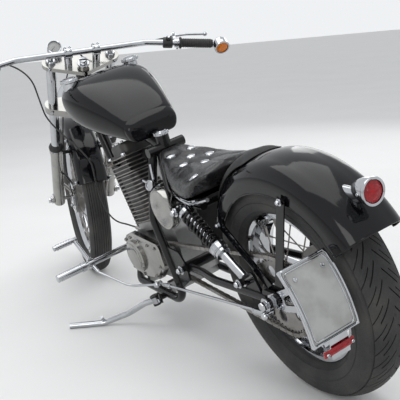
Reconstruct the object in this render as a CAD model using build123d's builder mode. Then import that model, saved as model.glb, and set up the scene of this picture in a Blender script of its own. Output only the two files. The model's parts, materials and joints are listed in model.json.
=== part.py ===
from build123d import *
from math import acos, atan2, cos, degrees, hypot, radians, sin, sqrt, tan
import os

# Chopper motorcycle with one upright cylinder, parked on its side stand.
# Everything is drawn upright with the front wheel straight ahead: X forward, Y to the rider's left,
# Z up, rear axle above the origin. The front end is then turned and the whole bike leaned over.

os.makedirs("parts", exist_ok=True)

# Stance
wheelbase = 1550
rake = 36
fork_offset = 45
lean = 13
park_steer = -16

# Wheels
rear_radius = 323
rear_rim_radius = 213
rear_rim_half = 42
rear_tyre_half = 71
rear_crown = 92
front_radius = 331
front_rim_radius = 250
front_rim_half = 27
front_tyre_half = 44
front_crown = 50
rim_wall = 5
shoulder_turn = 30
axle_radius = 8.5
running_gap = 0.4
seat_gap = 0.3
spoke_radius = 1.9
spokes_per_flange = 16
spoke_gap = 1

# Final drive
chain_y = 86
chain_pitch_radius = 112
gearbox_pitch_radius = 43
chain_plate = 3.5
chain_half = 7
chain_rise = 7
gearbox_x = 655
gearbox_z = 292
sprocket_thickness = 4
band_inside = 3

# Fork and bars
fork_half = 108
stanchion_radius = 18
slider_radius = 24
slider_top = 300
fork_length = 748
head_bottom = 548
head_top = 718
head_radius = 28
stem_radius = 15
yoke_thickness = 16
lower_yoke_thickness = 30
bar_radius = 11
bar_rise = 54
bar_reach = 16
bar_half = 472
bar_bend_y = 235
bar_sweep = 58
grip_length = 118
grip_radius = 16
signal_radius = 27

# Frame
tube_radius = 14
backbone_radius = 25
joint_x = 612
joint_z = 646
joint_half = 66
neck_top = 686
cross_radius = 16
cradle_y = 110
cradle_z = 150
rear_post_x = 552
front_foot_x = 965
front_foot_z = 200
front_foot_half = 74
pivot_x = 498
pivot_z = 290
swing_y = 112
swing_radius = 13
shock_top = (350, 528)
shock_bottom = (92, 366)
shock_y = 127
shock_pin = 8

# Engine
crank_x = 745
crank_z = 268
cylinder_tilt = 16
case_half = 86
cover_inner_y = 100
cover_outer_y = 126
cylinder_width = 190
cylinder_depth = 172
fin_count = 13
fin_thickness = 3
fin_gap = 10.6
barrel_start = 118
core_width = 152
core_depth = 136

# Tank: x, half width, top z, bottom z at six stations, front to rear
tank_stations = [
    (1034, 114, 848, 772),
    (1000, 150, 876, 750),
    (950, 160, 890, 737),
    (868, 155, 884, 718),
    (735, 118, 815, 690),
    (648, 84, 742, 676),
]
cap_x = 944
cap_y = 119
cap_radius = 30

# Rear fender and what it carries
fender_x = -40
fender_z = rear_radius + 12
fender_radius = rear_radius + 39
fender_half = 92
fender_wall = 3
fender_skirt = 78
fender_start = 28
fender_end = 145
shoulder_drop = 12
crown_rise = 3
shoulder_radius = 50
crown_radius = 160
pad_thickness = 22
plate_radius = rear_radius - 33
plate_inner_y = 82
plate_width = 138

# Side stand
stand_pivot = Vector(704, 153, 140)
stand_hinge = Vector(0.16, 0.10, 0.98).normalized()
stand_radius = 10
stand_knuckle = 12
stand_pin = 5
stand_foot_x = 915
stand_foot_y = 405

steer_tilt = radians(rake)
axle_front = Vector(wheelbase, 0, front_radius)
steer_up = Vector(-sin(steer_tilt), 0, cos(steer_tilt))
steer_out = Vector(cos(steer_tilt), 0, sin(steer_tilt))
steer_axis = Axis(axle_front - steer_out * fork_offset, steer_up)


def fork_point(up, y, out=0.0):
    """Point on the front end: up along the fork from the axle, y to the left, out ahead of the legs."""
    return axle_front + steer_up * up + steer_out * out + Vector(0, y, 0)


def rod(start, end, radius, mode=Mode.ADD):
    """Round bar between two points, in the part being built."""
    start = Vector(start)
    along = Vector(end) - start
    with Locations(Plane(origin=start, z_dir=along).location):
        Cylinder(radius, along.length, align=(Align.CENTER, Align.CENTER, Align.MIN), mode=mode)


def bent_tube(points, radius, bends):
    """Round tube along straight runs joined by arcs, in the part being built."""
    with BuildLine() as route:
        FilletPolyline(*points, radius=bends)
    with BuildSketch(Plane(origin=route.line @ 0, z_dir=route.line % 0)) as section:
        Circle(radius)
    sweep(sections=section.sketch, path=route.line)


def cross_bar(x, z, y_low, y_high, radius, mode=Mode.ADD):
    """Round bar lying across the bike."""
    rod((x, y_low, z), (x, y_high, z), radius, mode)


def side_plane(y):
    """Sketch plane facing left at a distance y: sketch x runs forward and sketch y runs up."""
    return Plane(origin=(0, y, 0), x_dir=(1, 0, 0), z_dir=(0, -1, 0))


def ring_profile(centre_x, centre_z, points):
    """Revolve a closed section, given as (y, radius) points, about a line across the bike."""
    with BuildSketch(Plane(origin=(centre_x, 0, centre_z), x_dir=(0, 1, 0), z_dir=(1, 0, 0))) as section:
        with BuildLine():
            Polyline(*points, close=True)
        make_face()
    revolve(section.sketch, axis=Axis((centre_x, 0, centre_z), (0, 1, 0)))


def tyre_crown(radius, half, crown, bead_radius, bead_half):
    """Outer points of a tyre section on the +y side, from the middle of the tread to the bead."""
    tread = [(crown * sin(radians(a)), radius - crown * (1 - cos(radians(a)))) for a in (0, shoulder_turn)]
    middle = bead_radius + (radius - bead_radius) * 0.53
    return tread + [(half, middle), (bead_half, bead_radius)]


rear_section = tyre_crown(rear_radius, rear_tyre_half, rear_crown, rear_rim_radius + seat_gap,
                          rear_rim_half)
front_section = tyre_crown(front_radius, front_tyre_half, front_crown, front_rim_radius + seat_gap,
                           front_rim_half)


def lowest(centre, normal, section):
    """Lowest height of a turned wheel, from its centre, its axle direction and its section."""
    tilt = normal.Z
    spread = sqrt(1 - tilt * tilt)
    return min(centre.Z - r * spread - abs(y * tilt) for y, r in section)


# Where the turned and leaned wheels touch the floor gives the lift and the small nose angle
lean_axis = Axis((0, 0, 0), (1, 0, 0))
turned_front = Vertex(*axle_front).rotate(steer_axis, park_steer).rotate(lean_axis, -lean).center()
axle_end = Vertex(*(axle_front + Vector(0, 1, 0))).rotate(steer_axis, park_steer).rotate(lean_axis, -lean).center()
leaned_rear = Vertex(0, 0, rear_radius).rotate(lean_axis, -lean).center()
rear_low = lowest(leaned_rear, Vector(0, cos(radians(lean)), sin(radians(lean))), rear_section)
front_low = lowest(turned_front, axle_end - turned_front, front_section)
nose_angle = degrees(atan2(front_low - rear_low, wheelbase))
nose_axis = Axis((0, 0, rear_low), (0, 1, 0))


def floor_height(x, y):
    """Height of the floor under a point of the upright bike."""
    across = y * sin(radians(lean)) + rear_low + x * tan(radians(nose_angle))
    return across / cos(radians(lean))


def stand_up(shape, steered=False):
    """Turn a piece of the front end, lean the piece over and set the wheels on the floor."""
    turned = shape.rotate(steer_axis, park_steer) if steered else shape
    return turned.rotate(lean_axis, -lean).rotate(nose_axis, nose_angle)


pieces = {}


def save(part, name, steered=False):
    """Keep one finished piece in the parked pose."""
    pieces[name] = stand_up(part, steered)


def flat_bar(outline, y_one, y_two, corner=0.0, mode=Mode.ADD):
    """Flat plate of one outline, given as (x, z) points, between two distances from the middle."""
    with BuildSketch(side_plane(max(y_one, y_two))) as face:
        with BuildLine():
            Polyline(*outline, close=True)
        make_face()
        if corner:
            fillet(face.vertices(), corner)
    extrude(face.sketch, amount=abs(y_two - y_one), mode=mode)


# Frame: head tube, backbone, front tube and the cross tubes that carry the rest
head_low = fork_point(head_bottom, 0, -fork_offset)
head_high = fork_point(head_top, 0, -fork_offset)
backbone_start = fork_point(650, 0, -fork_offset)
front_tube_start = fork_point(612, 0, -fork_offset)
footrest_x = 908
footrest_z = 280
footrest_radius = 11
footrest_plate_y = 44
with BuildPart() as main_frame:
    rod(head_low, head_high, head_radius)
    rod(backbone_start, (joint_x, 0, joint_z), backbone_radius)
    rod(front_tube_start, (front_foot_x, 0, front_foot_z), 19)
    cross_bar(joint_x, joint_z, -joint_half, joint_half, cross_radius)
    cross_bar(front_foot_x, front_foot_z, -front_foot_half, front_foot_half, cross_radius)
    rod((joint_x + 4, 0, joint_z), (joint_x + 4, 0, neck_top), 22)
    lug = [(front_foot_x, front_foot_z - 15), (front_foot_x + 14, front_foot_z + 8),
           (footrest_x + 14, footrest_z + 18), (footrest_x - 10, footrest_z + 18),
           (footrest_x - 14, footrest_z - 12)]
    for side in (1, -1):
        flat_bar(lug, side * footrest_plate_y, side * (footrest_plate_y - 8))
    rod(head_low, head_high, stem_radius + running_gap, Mode.SUBTRACT)
    cross_bar(footrest_x, footrest_z, -90, 90, footrest_radius + seat_gap, Mode.SUBTRACT)
save(main_frame.part, "main_frame")

# Cradle: one tube each side, under the engine and up behind it, with the swing arm's pivot plate
pivot_pin = 9
plate_half = 3
with BuildPart() as cradle_tubes:
    for side in (1, -1):
        bent_tube([
            (front_foot_x - cross_radius + 2, side * 62, front_foot_z),
            (front_foot_x - 75, side * cradle_y, cradle_z),
            (rear_post_x, side * cradle_y, cradle_z),
            (joint_x + 6, side * cradle_y, 440),
            (joint_x + 2, side * 50, joint_z - 10),
            ], tube_radius, (45, 60, 70))
    web = [(rear_post_x + 6, 200), (rear_post_x + 38, 350), (pivot_x + 6, pivot_z + 55),
           (pivot_x - 26, pivot_z + 10), (pivot_x - 16, pivot_z - 40)]
    for side in (1, -1):
        flat_bar(web, side * (cradle_y - plate_half), side * (cradle_y + plate_half), 8)
    ear = stand_hinge * (stand_knuckle + seat_gap)
    ear_back = stand_pivot.Y - stand_knuckle - 2.5
    rod((stand_pivot.X, cradle_y, stand_pivot.Z), (stand_pivot.X, ear_back, stand_pivot.Z), 10)
    flat_bar([(stand_pivot.X - 11, stand_pivot.Z - 17), (stand_pivot.X + 11, stand_pivot.Z - 17),
              (stand_pivot.X + 11, stand_pivot.Z + 17), (stand_pivot.X - 11, stand_pivot.Z + 17)],
             ear_back - 5, ear_back)
    for side in (1, -1):
        rod(stand_pivot + ear * side, stand_pivot + ear * side + stand_hinge * side * 5, stand_knuckle + 3)
    rod(stand_pivot - ear * 1.2, stand_pivot + ear * 1.2, stand_pin)
    cross_bar(pivot_x, pivot_z, -cradle_y - 20, cradle_y + 20, pivot_pin + seat_gap, Mode.SUBTRACT)
    cross_bar(joint_x, joint_z, -90, 90, cross_radius + seat_gap, Mode.SUBTRACT)
    cross_bar(front_foot_x, front_foot_z, -90, 90, cross_radius + seat_gap, Mode.SUBTRACT)
save(cradle_tubes.part, "cradle_tubes")

# Rear frame: a rail each side from the joint to behind the shock, with the shock's upper pin
rail_y = 88
rail_radius = 12
rail_end_x = fender_radius - 68
rail_start = [(joint_x - 2, 24, joint_z - 12), (492, rail_y, 534)]
with BuildPart() as rear_frame:
    for side in (1, -1):
        bent_tube([
            *[(x, side * y, z) for x, y, z in rail_start],
            (shock_top[0], side * rail_y, shock_top[1]),
            (rail_end_x, side * rail_y, shock_top[1] + 3),
        ], rail_radius, (70, 60))
        rod((shock_top[0], side * rail_y, shock_top[1]),
            (shock_top[0], side * (shock_y + 26), shock_top[1]),
            shock_pin)
        rod((shock_top[0], side * (shock_y + 16), shock_top[1]),
            (shock_top[0], side * (shock_y + 26), shock_top[1]), 12)
    cross_bar(rail_end_x + 9, shock_top[1] + 3, -rail_y, rail_y, 9)
    cross_bar(joint_x, joint_z, -90, 90, cross_radius + seat_gap, Mode.SUBTRACT)
save(rear_frame.part, "rear_frame")

# Swing arm with the rear axle and the shock's lower pins
eye_half = 13
drop_out_half = 5
plate_arm_y = swing_y + drop_out_half + seat_gap
plate_arm_thickness = 5
brake_lever_y = plate_arm_y + plate_arm_thickness + seat_gap
brake_lever_thickness = 6
nut_y = brake_lever_y + brake_lever_thickness + seat_gap
with BuildPart() as swing_arm:
    for side in (1, -1):
        arm_y = side * swing_y
        bent_tube([(pivot_x, side * 93, pivot_z), (pivot_x - 90, side * 96, pivot_z + 4),
                   (pivot_x - 190, arm_y, pivot_z + 10), (30, arm_y, rear_radius - 4)],
                  swing_radius - 1, (120, 160))
        with BuildSketch(side_plane(arm_y + drop_out_half)) as drop_out:
            with Locations((4, rear_radius)):
                RectangleRounded(88, 44, 14)
        extrude(drop_out.sketch, amount=2 * drop_out_half)
        shock_web = [(shock_bottom[0] + 42, rear_radius - 11), (shock_bottom[0] + 12, shock_bottom[1] + 10),
                     (shock_bottom[0] - 12, shock_bottom[1] + 10), (shock_bottom[0] - 36, rear_radius - 5)]
        eye_inner = shock_y - eye_half - seat_gap
        flat_bar(shock_web, side * (eye_inner - 8), side * eye_inner)
        rod((shock_bottom[0], arm_y, shock_bottom[1]),
            (shock_bottom[0], side * (shock_y + 24), shock_bottom[1]),
            shock_pin)
        rod((shock_bottom[0], side * (shock_y + 16), shock_bottom[1]),
            (shock_bottom[0], side * (shock_y + 26), shock_bottom[1]), 11)
    cross_bar(pivot_x, pivot_z, -cradle_y - 12, cradle_y + 12, pivot_pin)
    cross_bar(pivot_x, pivot_z, -104, 104, 18)
    cross_bar(0, rear_radius, -plate_arm_y - 14, nut_y + 14, axle_radius)
    cross_bar(0, rear_radius, nut_y, nut_y + 12, 15)
    cross_bar(0, rear_radius, -plate_arm_y - 12, -swing_y, 15)
save(swing_arm.part, "swing_arm")

# Shocks: eye, chrome cup and slim body below, coils above, laid back over the swing arm
shock_low = Vector(shock_bottom[0], 0, shock_bottom[1])
shock_high = Vector(shock_top[0], 0, shock_top[1])
shock_along = (shock_high - shock_low).normalized()
shock_length = (shock_high - shock_low).length
with BuildPart() as shock_bodies:
    for side in (1, -1):
        foot = shock_low + Vector(0, side * shock_y, 0)
        for centre in (foot, foot + shock_along * shock_length):
            rod(centre - Vector(0, eye_half, 0), centre + Vector(0, eye_half, 0), 15)
        rod(foot + shock_along * 10, foot + shock_along * 108, 13)
        rod(foot + shock_along * 104, foot + shock_along * 118, 21)
        rod(foot + shock_along * 118, foot + shock_along * 134, 25)
        rod(foot + shock_along * 134, foot + shock_along * (shock_length - 12), 9)
        rod(foot + shock_along * (shock_length - 26), foot + shock_along * (shock_length - 14), 24)
        for centre in (foot, foot + shock_along * shock_length):
            rod(centre - Vector(0, 20, 0), centre + Vector(0, 20, 0), shock_pin + seat_gap, Mode.SUBTRACT)
save(shock_bodies.part, "shock_bodies")

coil_start = 134
coil_end = shock_length - 26
coil_count = 9
coil_pitch = (coil_end - coil_start) / coil_count
with BuildPart() as shock_springs:
    for side in (1, -1):
        foot = shock_low + Vector(0, side * shock_y, 0)
        rod(foot + shock_along * (coil_start + seat_gap), foot + shock_along * (coil_end - seat_gap), 15)
        for turn in range(coil_count):
            middle = foot + shock_along * (coil_start + coil_pitch * (turn + 0.5))
            rod(middle - shock_along * coil_pitch * 0.27, middle + shock_along * coil_pitch * 0.27,
                20 + 6 * (turn / coil_count))
        rod(foot + shock_along * coil_start, foot + shock_along * coil_end, 9 + seat_gap, Mode.SUBTRACT)
save(shock_springs.part, "shock_springs")

# Engine: crankcase, barrel with fins, head, polished left cover
engine_up = Vector(sin(radians(cylinder_tilt)), 0, cos(radians(cylinder_tilt)))
engine_plane = Plane(origin=(crank_x, 0, crank_z), x_dir=(0, 1, 0), z_dir=engine_up)
mount_xs = (690, 850)


def deck_z(x):
    """Height of the crankcase's sloping deck, square to the barrel."""
    return crank_z + (barrel_start - 14 - (x - crank_x) * engine_up.X) / engine_up.Z


with BuildPart() as crankcase:
    with BuildSketch(side_plane(case_half - 28)) as case_side:
        with BuildLine():
            Polyline((602, 372), (600, 240), (650, 178), (850, 170), (892, 214), (892, 316),
                     (864, deck_z(864)), (640, deck_z(640)), close=True)
        make_face()
        fillet(case_side.vertices(), 14)
    extrude(case_side.sketch, amount=2 * case_half - 28)
    rod((808, case_half - 30, 272), (808, cover_inner_y - seat_gap, 272), 78)
    rod((790, -case_half, 275), (790, -case_half - 28, 275), 82)
    rod((690, -case_half, 290), (690, -case_half - 18, 290), 52)
    rod((gearbox_x, case_half - 29, gearbox_z), (gearbox_x, chain_y - 6, gearbox_z), 20)
    rod((gearbox_x, chain_y - 2, gearbox_z), (gearbox_x, chain_y + 2, gearbox_z),
        gearbox_pitch_radius - band_inside - seat_gap)
    rod((gearbox_x, chain_y - 8, gearbox_z), (gearbox_x, chain_y + 8, gearbox_z), 16)
    with Locations(engine_plane.offset(barrel_start - 30)):
        Box(150, 140, 30 - seat_gap, align=(Align.CENTER, Align.CENTER, Align.MIN))
    for mount_x in mount_xs:
        with Locations((mount_x, 0, cradle_z - 8)):
            Box(20, 2 * (cradle_y - tube_radius - seat_gap), 42,
                align=(Align.CENTER, Align.CENTER, Align.MIN))
save(crankcase.part, "crankcase")

with BuildPart() as left_cover:
    with BuildSketch(side_plane(cover_outer_y)) as cover_side:
        with BuildLine():
            Polyline((630, 345), (626, 262), (690, 206), (800, 190), (872, 208), (890, 262),
                     (880, 330), (828, 352), (760, 350), close=True)
        make_face()
        fillet(cover_side.vertices(), 22)
    extrude(cover_side.sketch, amount=cover_outer_y - cover_inner_y)
    chamfer(left_cover.faces().sort_by(Axis.Y)[-1].edges(), 7)
    rod((812, cover_outer_y - 2, 270), (812, cover_outer_y + 12, 270), 58)
    chamfer(left_cover.faces().sort_by(Axis.Y)[-1].edges(), 5)
save(left_cover.part, "left_cover")

fin_step = fin_thickness + fin_gap
barrel_length = fin_count * fin_step
with BuildPart() as cylinder:
    with Locations(engine_plane.offset(barrel_start)):
        Box(core_width, core_depth, barrel_length, align=(Align.CENTER, Align.CENTER, Align.MIN))
    fillet(cylinder.edges().filter_by(Axis((0, 0, 0), engine_up)), 30)
    for number in range(fin_count):
        with BuildSketch(engine_plane.offset(barrel_start + fin_gap / 2 + number * fin_step)) as fin:
            RectangleRounded(cylinder_width - 10, cylinder_depth - 10, 42)
        extrude(fin.sketch, amount=fin_thickness)
save(cylinder.part, "cylinder")

head_start = barrel_start + barrel_length + seat_gap
head_fins = 5
head_height = head_fins * fin_step
port_y = -26
with BuildPart() as cylinder_head:
    with Locations(engine_plane.offset(head_start)):
        Box(core_width, core_depth, head_height, align=(Align.CENTER, Align.CENTER, Align.MIN))
    for number in range(head_fins):
        with BuildSketch(engine_plane.offset(head_start + number * fin_step)) as fin:
            RectangleRounded(cylinder_width, cylinder_depth, 30)
        extrude(fin.sketch, amount=fin_thickness)
    with BuildSketch(engine_plane.offset(head_start + head_height)) as rocker_base:
        RectangleRounded(138, 120, 24)
    extrude(rocker_base.sketch, amount=34)
    fillet(cylinder_head.faces().sort_by(Axis((crank_x, 0, crank_z), engine_up))[-1].edges(), 12)
    port_dir = Vector(cos(radians(cylinder_tilt)), 0, -sin(radians(cylinder_tilt)))
    port_middle = engine_plane.offset(head_start + head_height * 0.45).origin
    port_start = port_middle + port_dir * 70 + Vector(0, port_y, 0)
    rod(port_start - port_dir * 20, port_start + port_dir * 34, 26)
    intake_end = port_middle - port_dir * 104
    rod(port_middle - port_dir * 50, intake_end, 24)
save(cylinder_head.part, "cylinder_head")

# Intake: carburettor behind the head, hose down to the box, round filter cover facing left
box_x = 417
box_half_length = 45
box_top = 544
box_half = rail_y - rail_radius - seat_gap
carb_dir = Vector(-1, 0, -0.08).normalized()
carb_front = intake_end + Vector(-9, 0, -4)
carb_rear = carb_front + carb_dir * 76
with BuildPart() as carburettor:
    rod(carb_front, carb_rear, 21)
    carb_middle = carb_front + carb_dir * 38
    rod(carb_middle - Vector(0, 0, 60), carb_middle + Vector(0, 0, 24), 23)
    rod(carb_middle - Vector(0, 0, 76), carb_middle - Vector(0, 0, 58), 15)
save(carburettor.part, "carburettor")

hose_start = carb_rear + carb_dir * seat_gap
hose_z = 476
with BuildPart() as intake_hose:
    bent_tube([hose_start, hose_start + carb_dir * 46, (546, 0, hose_z),
               (box_x + box_half_length + seat_gap, 0, hose_z)],
              21, (40, 60))
save(intake_hose.part, "intake_hose")

filter_x = 478
filter_z = 507
filter_radius = 63
filter_inner_y = 110
filter_depth = 26
with BuildPart() as air_filter:
    cross_bar(filter_x, filter_z, filter_inner_y, filter_inner_y + filter_depth, filter_radius)
    chamfer(air_filter.faces().sort_by(Axis.Y)[-1].edges(), 5)
    cross_bar(box_x + 20, filter_z - 22, box_half + seat_gap, filter_inner_y + 2, 22)
save(air_filter.part, "air_filter")

# Exhaust on the right: down beside the front tube, back under the footrest to the silencer
pipe_radius = 19
pipe_y = -166
pipe_z = 196
port_end = port_start + port_dir * (34 + seat_gap)
with BuildPart() as exhaust:
    bent_tube([
        port_end, port_end + port_dir * 50, (975, -98, 420), (942, pipe_y, pipe_z),
        (600, pipe_y, pipe_z),
    ], pipe_radius, (40, 90, 55))
    with BuildSketch(Plane(origin=(610, pipe_y, pipe_z), z_dir=(-1, 0, 0))):
        Circle(pipe_radius)
    with BuildSketch(Plane(origin=(540, pipe_y, pipe_z + 2), z_dir=(-1, 0, 0))):
        Circle(38)
    loft()
    rod((541, pipe_y, pipe_z + 2), (150, pipe_y, pipe_z + 2), 38)
    rod((180, pipe_y, pipe_z + 2), (149, pipe_y, pipe_z + 2), 24, Mode.SUBTRACT)
    cross_bar(530, pipe_z + 32, pipe_y + 14, -cradle_y - plate_half - seat_gap, 6)
save(exhaust.part, "exhaust")

# Battery and electrics box between the rails, behind the engine and above the swing arm's pivot
box_low = pivot_z + 41
box_step = 411
with BuildPart() as battery_box:
    with Locations((box_x, -8, box_low)):
        Box(2 * box_half_length, 108, box_top - 20 - box_low, align=(Align.CENTER, Align.CENTER, Align.MIN))
    with Locations((box_x, 0, box_step)):
        Box(2 * box_half_length, 2 * box_half, box_top - box_step,
            align=(Align.CENTER, Align.CENTER, Align.MIN))
    fillet(battery_box.edges().filter_by(Axis.X), 5)
save(battery_box.part, "battery_box")

# Fuel tank over the backbone: six arched sections, hollowed below for the tube
with BuildPart() as fuel_tank:
    for station_x, half, top, bottom in tank_stations:
        with BuildSketch(Plane(origin=(station_x, 0, 0), x_dir=(0, 1, 0), z_dir=(1, 0, 0))):
            depth = top - bottom
            with BuildLine():
                Line((-half * 0.72, bottom), (half * 0.72, bottom))
                ThreePointArc((half * 0.72, bottom), (half * 0.97, bottom + depth * 0.22),
                              (half, bottom + depth * 0.55))
                ThreePointArc((half, bottom + depth * 0.55), (half * 0.94, bottom + depth * 0.8),
                              (half * 0.78, bottom + depth * 0.93))
                ThreePointArc((half * 0.78, bottom + depth * 0.93), (0, top),
                              (-half * 0.78, bottom + depth * 0.93))
                ThreePointArc((-half * 0.78, bottom + depth * 0.93), (-half * 0.94, bottom + depth * 0.8),
                              (-half, bottom + depth * 0.55))
                ThreePointArc((-half, bottom + depth * 0.55), (-half * 0.97, bottom + depth * 0.22),
                              (-half * 0.72, bottom))
            make_face()
    loft()
    tunnel_half = backbone_radius + running_gap
    rod((joint_x, 0, joint_z), backbone_start, tunnel_half, Mode.SUBTRACT)
    with BuildSketch(side_plane(tunnel_half)) as tunnel:
        with BuildLine():
            Polyline((joint_x, joint_z), (backbone_start.X, backbone_start.Z),
                     (backbone_start.X, joint_z - 60), (joint_x, joint_z - 60), close=True)
        make_face()
    extrude(tunnel.sketch, amount=2 * tunnel_half, mode=Mode.SUBTRACT)
    cap_z = tank_stations[2][2] - 3
    with Locations((cap_x, cap_y, cap_z), (cap_x, -cap_y, cap_z)):
        Cylinder(cap_radius - 6, 26, align=(Align.CENTER, Align.CENTER, Align.MAX))
save(fuel_tank.part, "fuel_tank")

with BuildPart() as filler_caps:
    for side in (1, -1):
        with Locations((cap_x, side * cap_y, cap_z + seat_gap)):
            Cylinder(cap_radius, 16, align=(Align.CENTER, Align.CENTER, Align.MIN))
    with Locations((joint_x + 4, 0, neck_top + seat_gap)):
        Cylinder(24, 16, align=(Align.CENTER, Align.CENTER, Align.MIN))
    chamfer(filler_caps.edges().filter_by(GeomType.CIRCLE).group_by(Axis.Z)[-1], 4)
save(filler_caps.part, "filler_caps")

# Rear fender: one round-shouldered sheet about its own centre, with a flat stay each side
sheet_half = fender_half - fender_wall / 2
crown_line = fender_radius - fender_wall / 2
crown_slope = atan2(shoulder_drop + crown_rise, sheet_half)
fender_turn = Axis((fender_x, 0, fender_z), (0, -1, 0))


def crown_height(grow):
    """Radius of the fender's crown at the middle, grown outward from its middle surface."""
    sag = (crown_radius + grow) * (1 / cos(crown_slope) - 1)
    return crown_line + crown_rise + grow / cos(crown_slope) - sag


def fender_face(grow, inner_radius, mode=Mode.ADD):
    """Face under the fender's section grown outward, down to a radius, in the sketch being built."""
    edge = sheet_half + grow
    shoulder = crown_line - shoulder_drop + grow * (1 / cos(crown_slope) - tan(crown_slope))
    peak = crown_line + crown_rise + grow / cos(crown_slope)
    with BuildLine() as border:
        top = FilletPolyline((-edge, inner_radius), (-edge, shoulder), (0, peak), (edge, shoulder),
                             (edge, inner_radius),
                             radius=(shoulder_radius + grow, crown_radius + grow, shoulder_radius + grow))
        Line(top @ 0, top @ 1)
    make_face(border.edges(), mode=mode)


def fender_plane(angle):
    """Sketch plane through the fender's centre: sketch x to the left, sketch y outward at an angle."""
    turn = radians(angle)
    return Plane(origin=(fender_x, 0, fender_z), x_dir=(0, 1, 0), z_dir=(sin(turn), 0, -cos(turn)))


stay_y = chain_y + chain_half + 4
stay_thickness = 4
stay_reach = fender_radius - 62
stay_tops = [(fender_x + stay_reach * cos(radians(a)),
              fender_z + stay_reach * sin(radians(a))) for a in (106, 33)]
with BuildPart() as rear_fender:
    with BuildSketch(fender_plane(fender_start)) as sheet:
        fender_face(fender_wall / 2, fender_radius - fender_skirt)
        fender_face(-fender_wall / 2, fender_radius - fender_skirt - 1, Mode.SUBTRACT)
    revolve(sheet.sketch, axis=fender_turn, revolution_arc=fender_end - fender_start)
    for side in (1, -1):
        for top_x, top_z in stay_tops:
            lean_x = (top_z - rear_radius) / hypot(top_x, top_z - rear_radius)
            lean_z = -top_x / hypot(top_x, top_z - rear_radius)
            flat_bar([(-15 * lean_x, rear_radius - 15 * lean_z), (15 * lean_x, rear_radius + 15 * lean_z),
                      (top_x + 14 * lean_x, top_z + 14 * lean_z), (top_x - 14 * lean_x, top_z - 14 * lean_z)],
                     side * stay_y, side * (stay_y + stay_thickness))
            cross_bar(top_x * 0.98, rear_radius + (top_z - rear_radius) * 0.98, *sorted(
                (side * (fender_half - fender_wall), side * (stay_y + stay_thickness + 3))), 7)
        cross_bar(0, rear_radius, *sorted((side * stay_y, side * (stay_y + stay_thickness))), 21)
    cross_bar(0, rear_radius, -stay_y - 10, stay_y + 10, axle_radius + seat_gap, Mode.SUBTRACT)
save(rear_fender.part, "rear_fender")

# Pad on the front of the fender, behind the saddle
pad_start = 36
pad_end = 74
pad_half = 70
pad_top = crown_height(fender_wall / 2) + pad_thickness
with BuildPart() as fender_pad:
    with BuildSketch(fender_plane(pad_start)) as pad_section:
        with BuildLine():
            Polyline((-pad_half, fender_radius - 16), (-pad_half, fender_radius + 2),
                     (-pad_half + 20, pad_top - 5),
                     (0, pad_top), (pad_half - 20, pad_top - 5), (pad_half, fender_radius + 2),
                     (pad_half, fender_radius - 16), close=True)
        make_face()
        fender_face(fender_wall / 2 + seat_gap, fender_radius - fender_skirt, Mode.SUBTRACT)
    revolve(pad_section.sketch, axis=fender_turn, revolution_arc=pad_end - pad_start)
save(fender_pad.part, "fender_pad")

# Saddle: half widths along its length, broad at the back and narrow at the nose, on a pan on the rails
seat_outline = [(588, 40), (520, 66), (440, 104), (350, 134), (270, 140), (200, 128), (150, 96)]
seat_low = 562
seat_high = 646
seat_corner = 24
seat_nose = seat_outline[0][0]
pan_thickness = 5
with BuildPart() as seat:
    with BuildSketch(Plane.XY.offset(seat_low)) as seat_plan:
        with BuildLine():
            Polyline(*seat_outline, *[(x, -y) for x, y in reversed(seat_outline)], close=True)
        make_face()
        fillet(seat_plan.vertices(), seat_corner)
    extrude(seat_plan.sketch, amount=seat_high - seat_low)
    fillet(seat.faces().sort_by(Axis.Z)[-1].edges(), seat_corner - 6)
    flat_bar([(seat_nose + 50, seat_high), (seat_nose + 50, seat_low - 2), (seat_nose - 92, seat_low - 2),
              (seat_nose - 40, seat_low + 44), (seat_nose + 12, seat_low + 68)],
             -160, 160, mode=Mode.SUBTRACT)
    cross_bar(370, seat_high + 370, -160, 160, 400, Mode.SUBTRACT)
    for side in (1, -1):
        rod(*[(x, side * y, z) for x, y, z in rail_start], rail_radius + seat_gap, Mode.SUBTRACT)
    cross_bar(fender_x, fender_z, -160, 160, pad_top + seat_gap, Mode.SUBTRACT)
save(seat.part, "seat")

pan_top = seat_low - seat_gap
side_rail_y = 112
with BuildPart() as seat_pan:
    with BuildSketch(Plane.XY.offset(pan_top)) as pan_plan:
        with BuildLine():
            Polyline((486, 70), (440, 96), (350, 126), (285, 130), (285, -130), (350, -126), (440, -96),
                     (486, -70), close=True)
        make_face()
        fillet(pan_plan.vertices(), 16)
    extrude(pan_plan.sketch, amount=-pan_thickness)
    for side in (1, -1):
        rod((shock_top[0], side * rail_y, shock_top[1] + rail_radius + 3 * seat_gap),
            (shock_top[0], side * rail_y, pan_top - 2), 9)
        bent_tube([(shock_top[0] - 2, side * side_rail_y, pan_top - pan_thickness - 4),
                   (shock_top[0] - 50, side * (side_rail_y + 2), pan_top - pan_thickness - 11),
                   (216, side * side_rail_y, 572)], 6, (60,))
save(seat_pan.part, "seat_pan")

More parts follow.
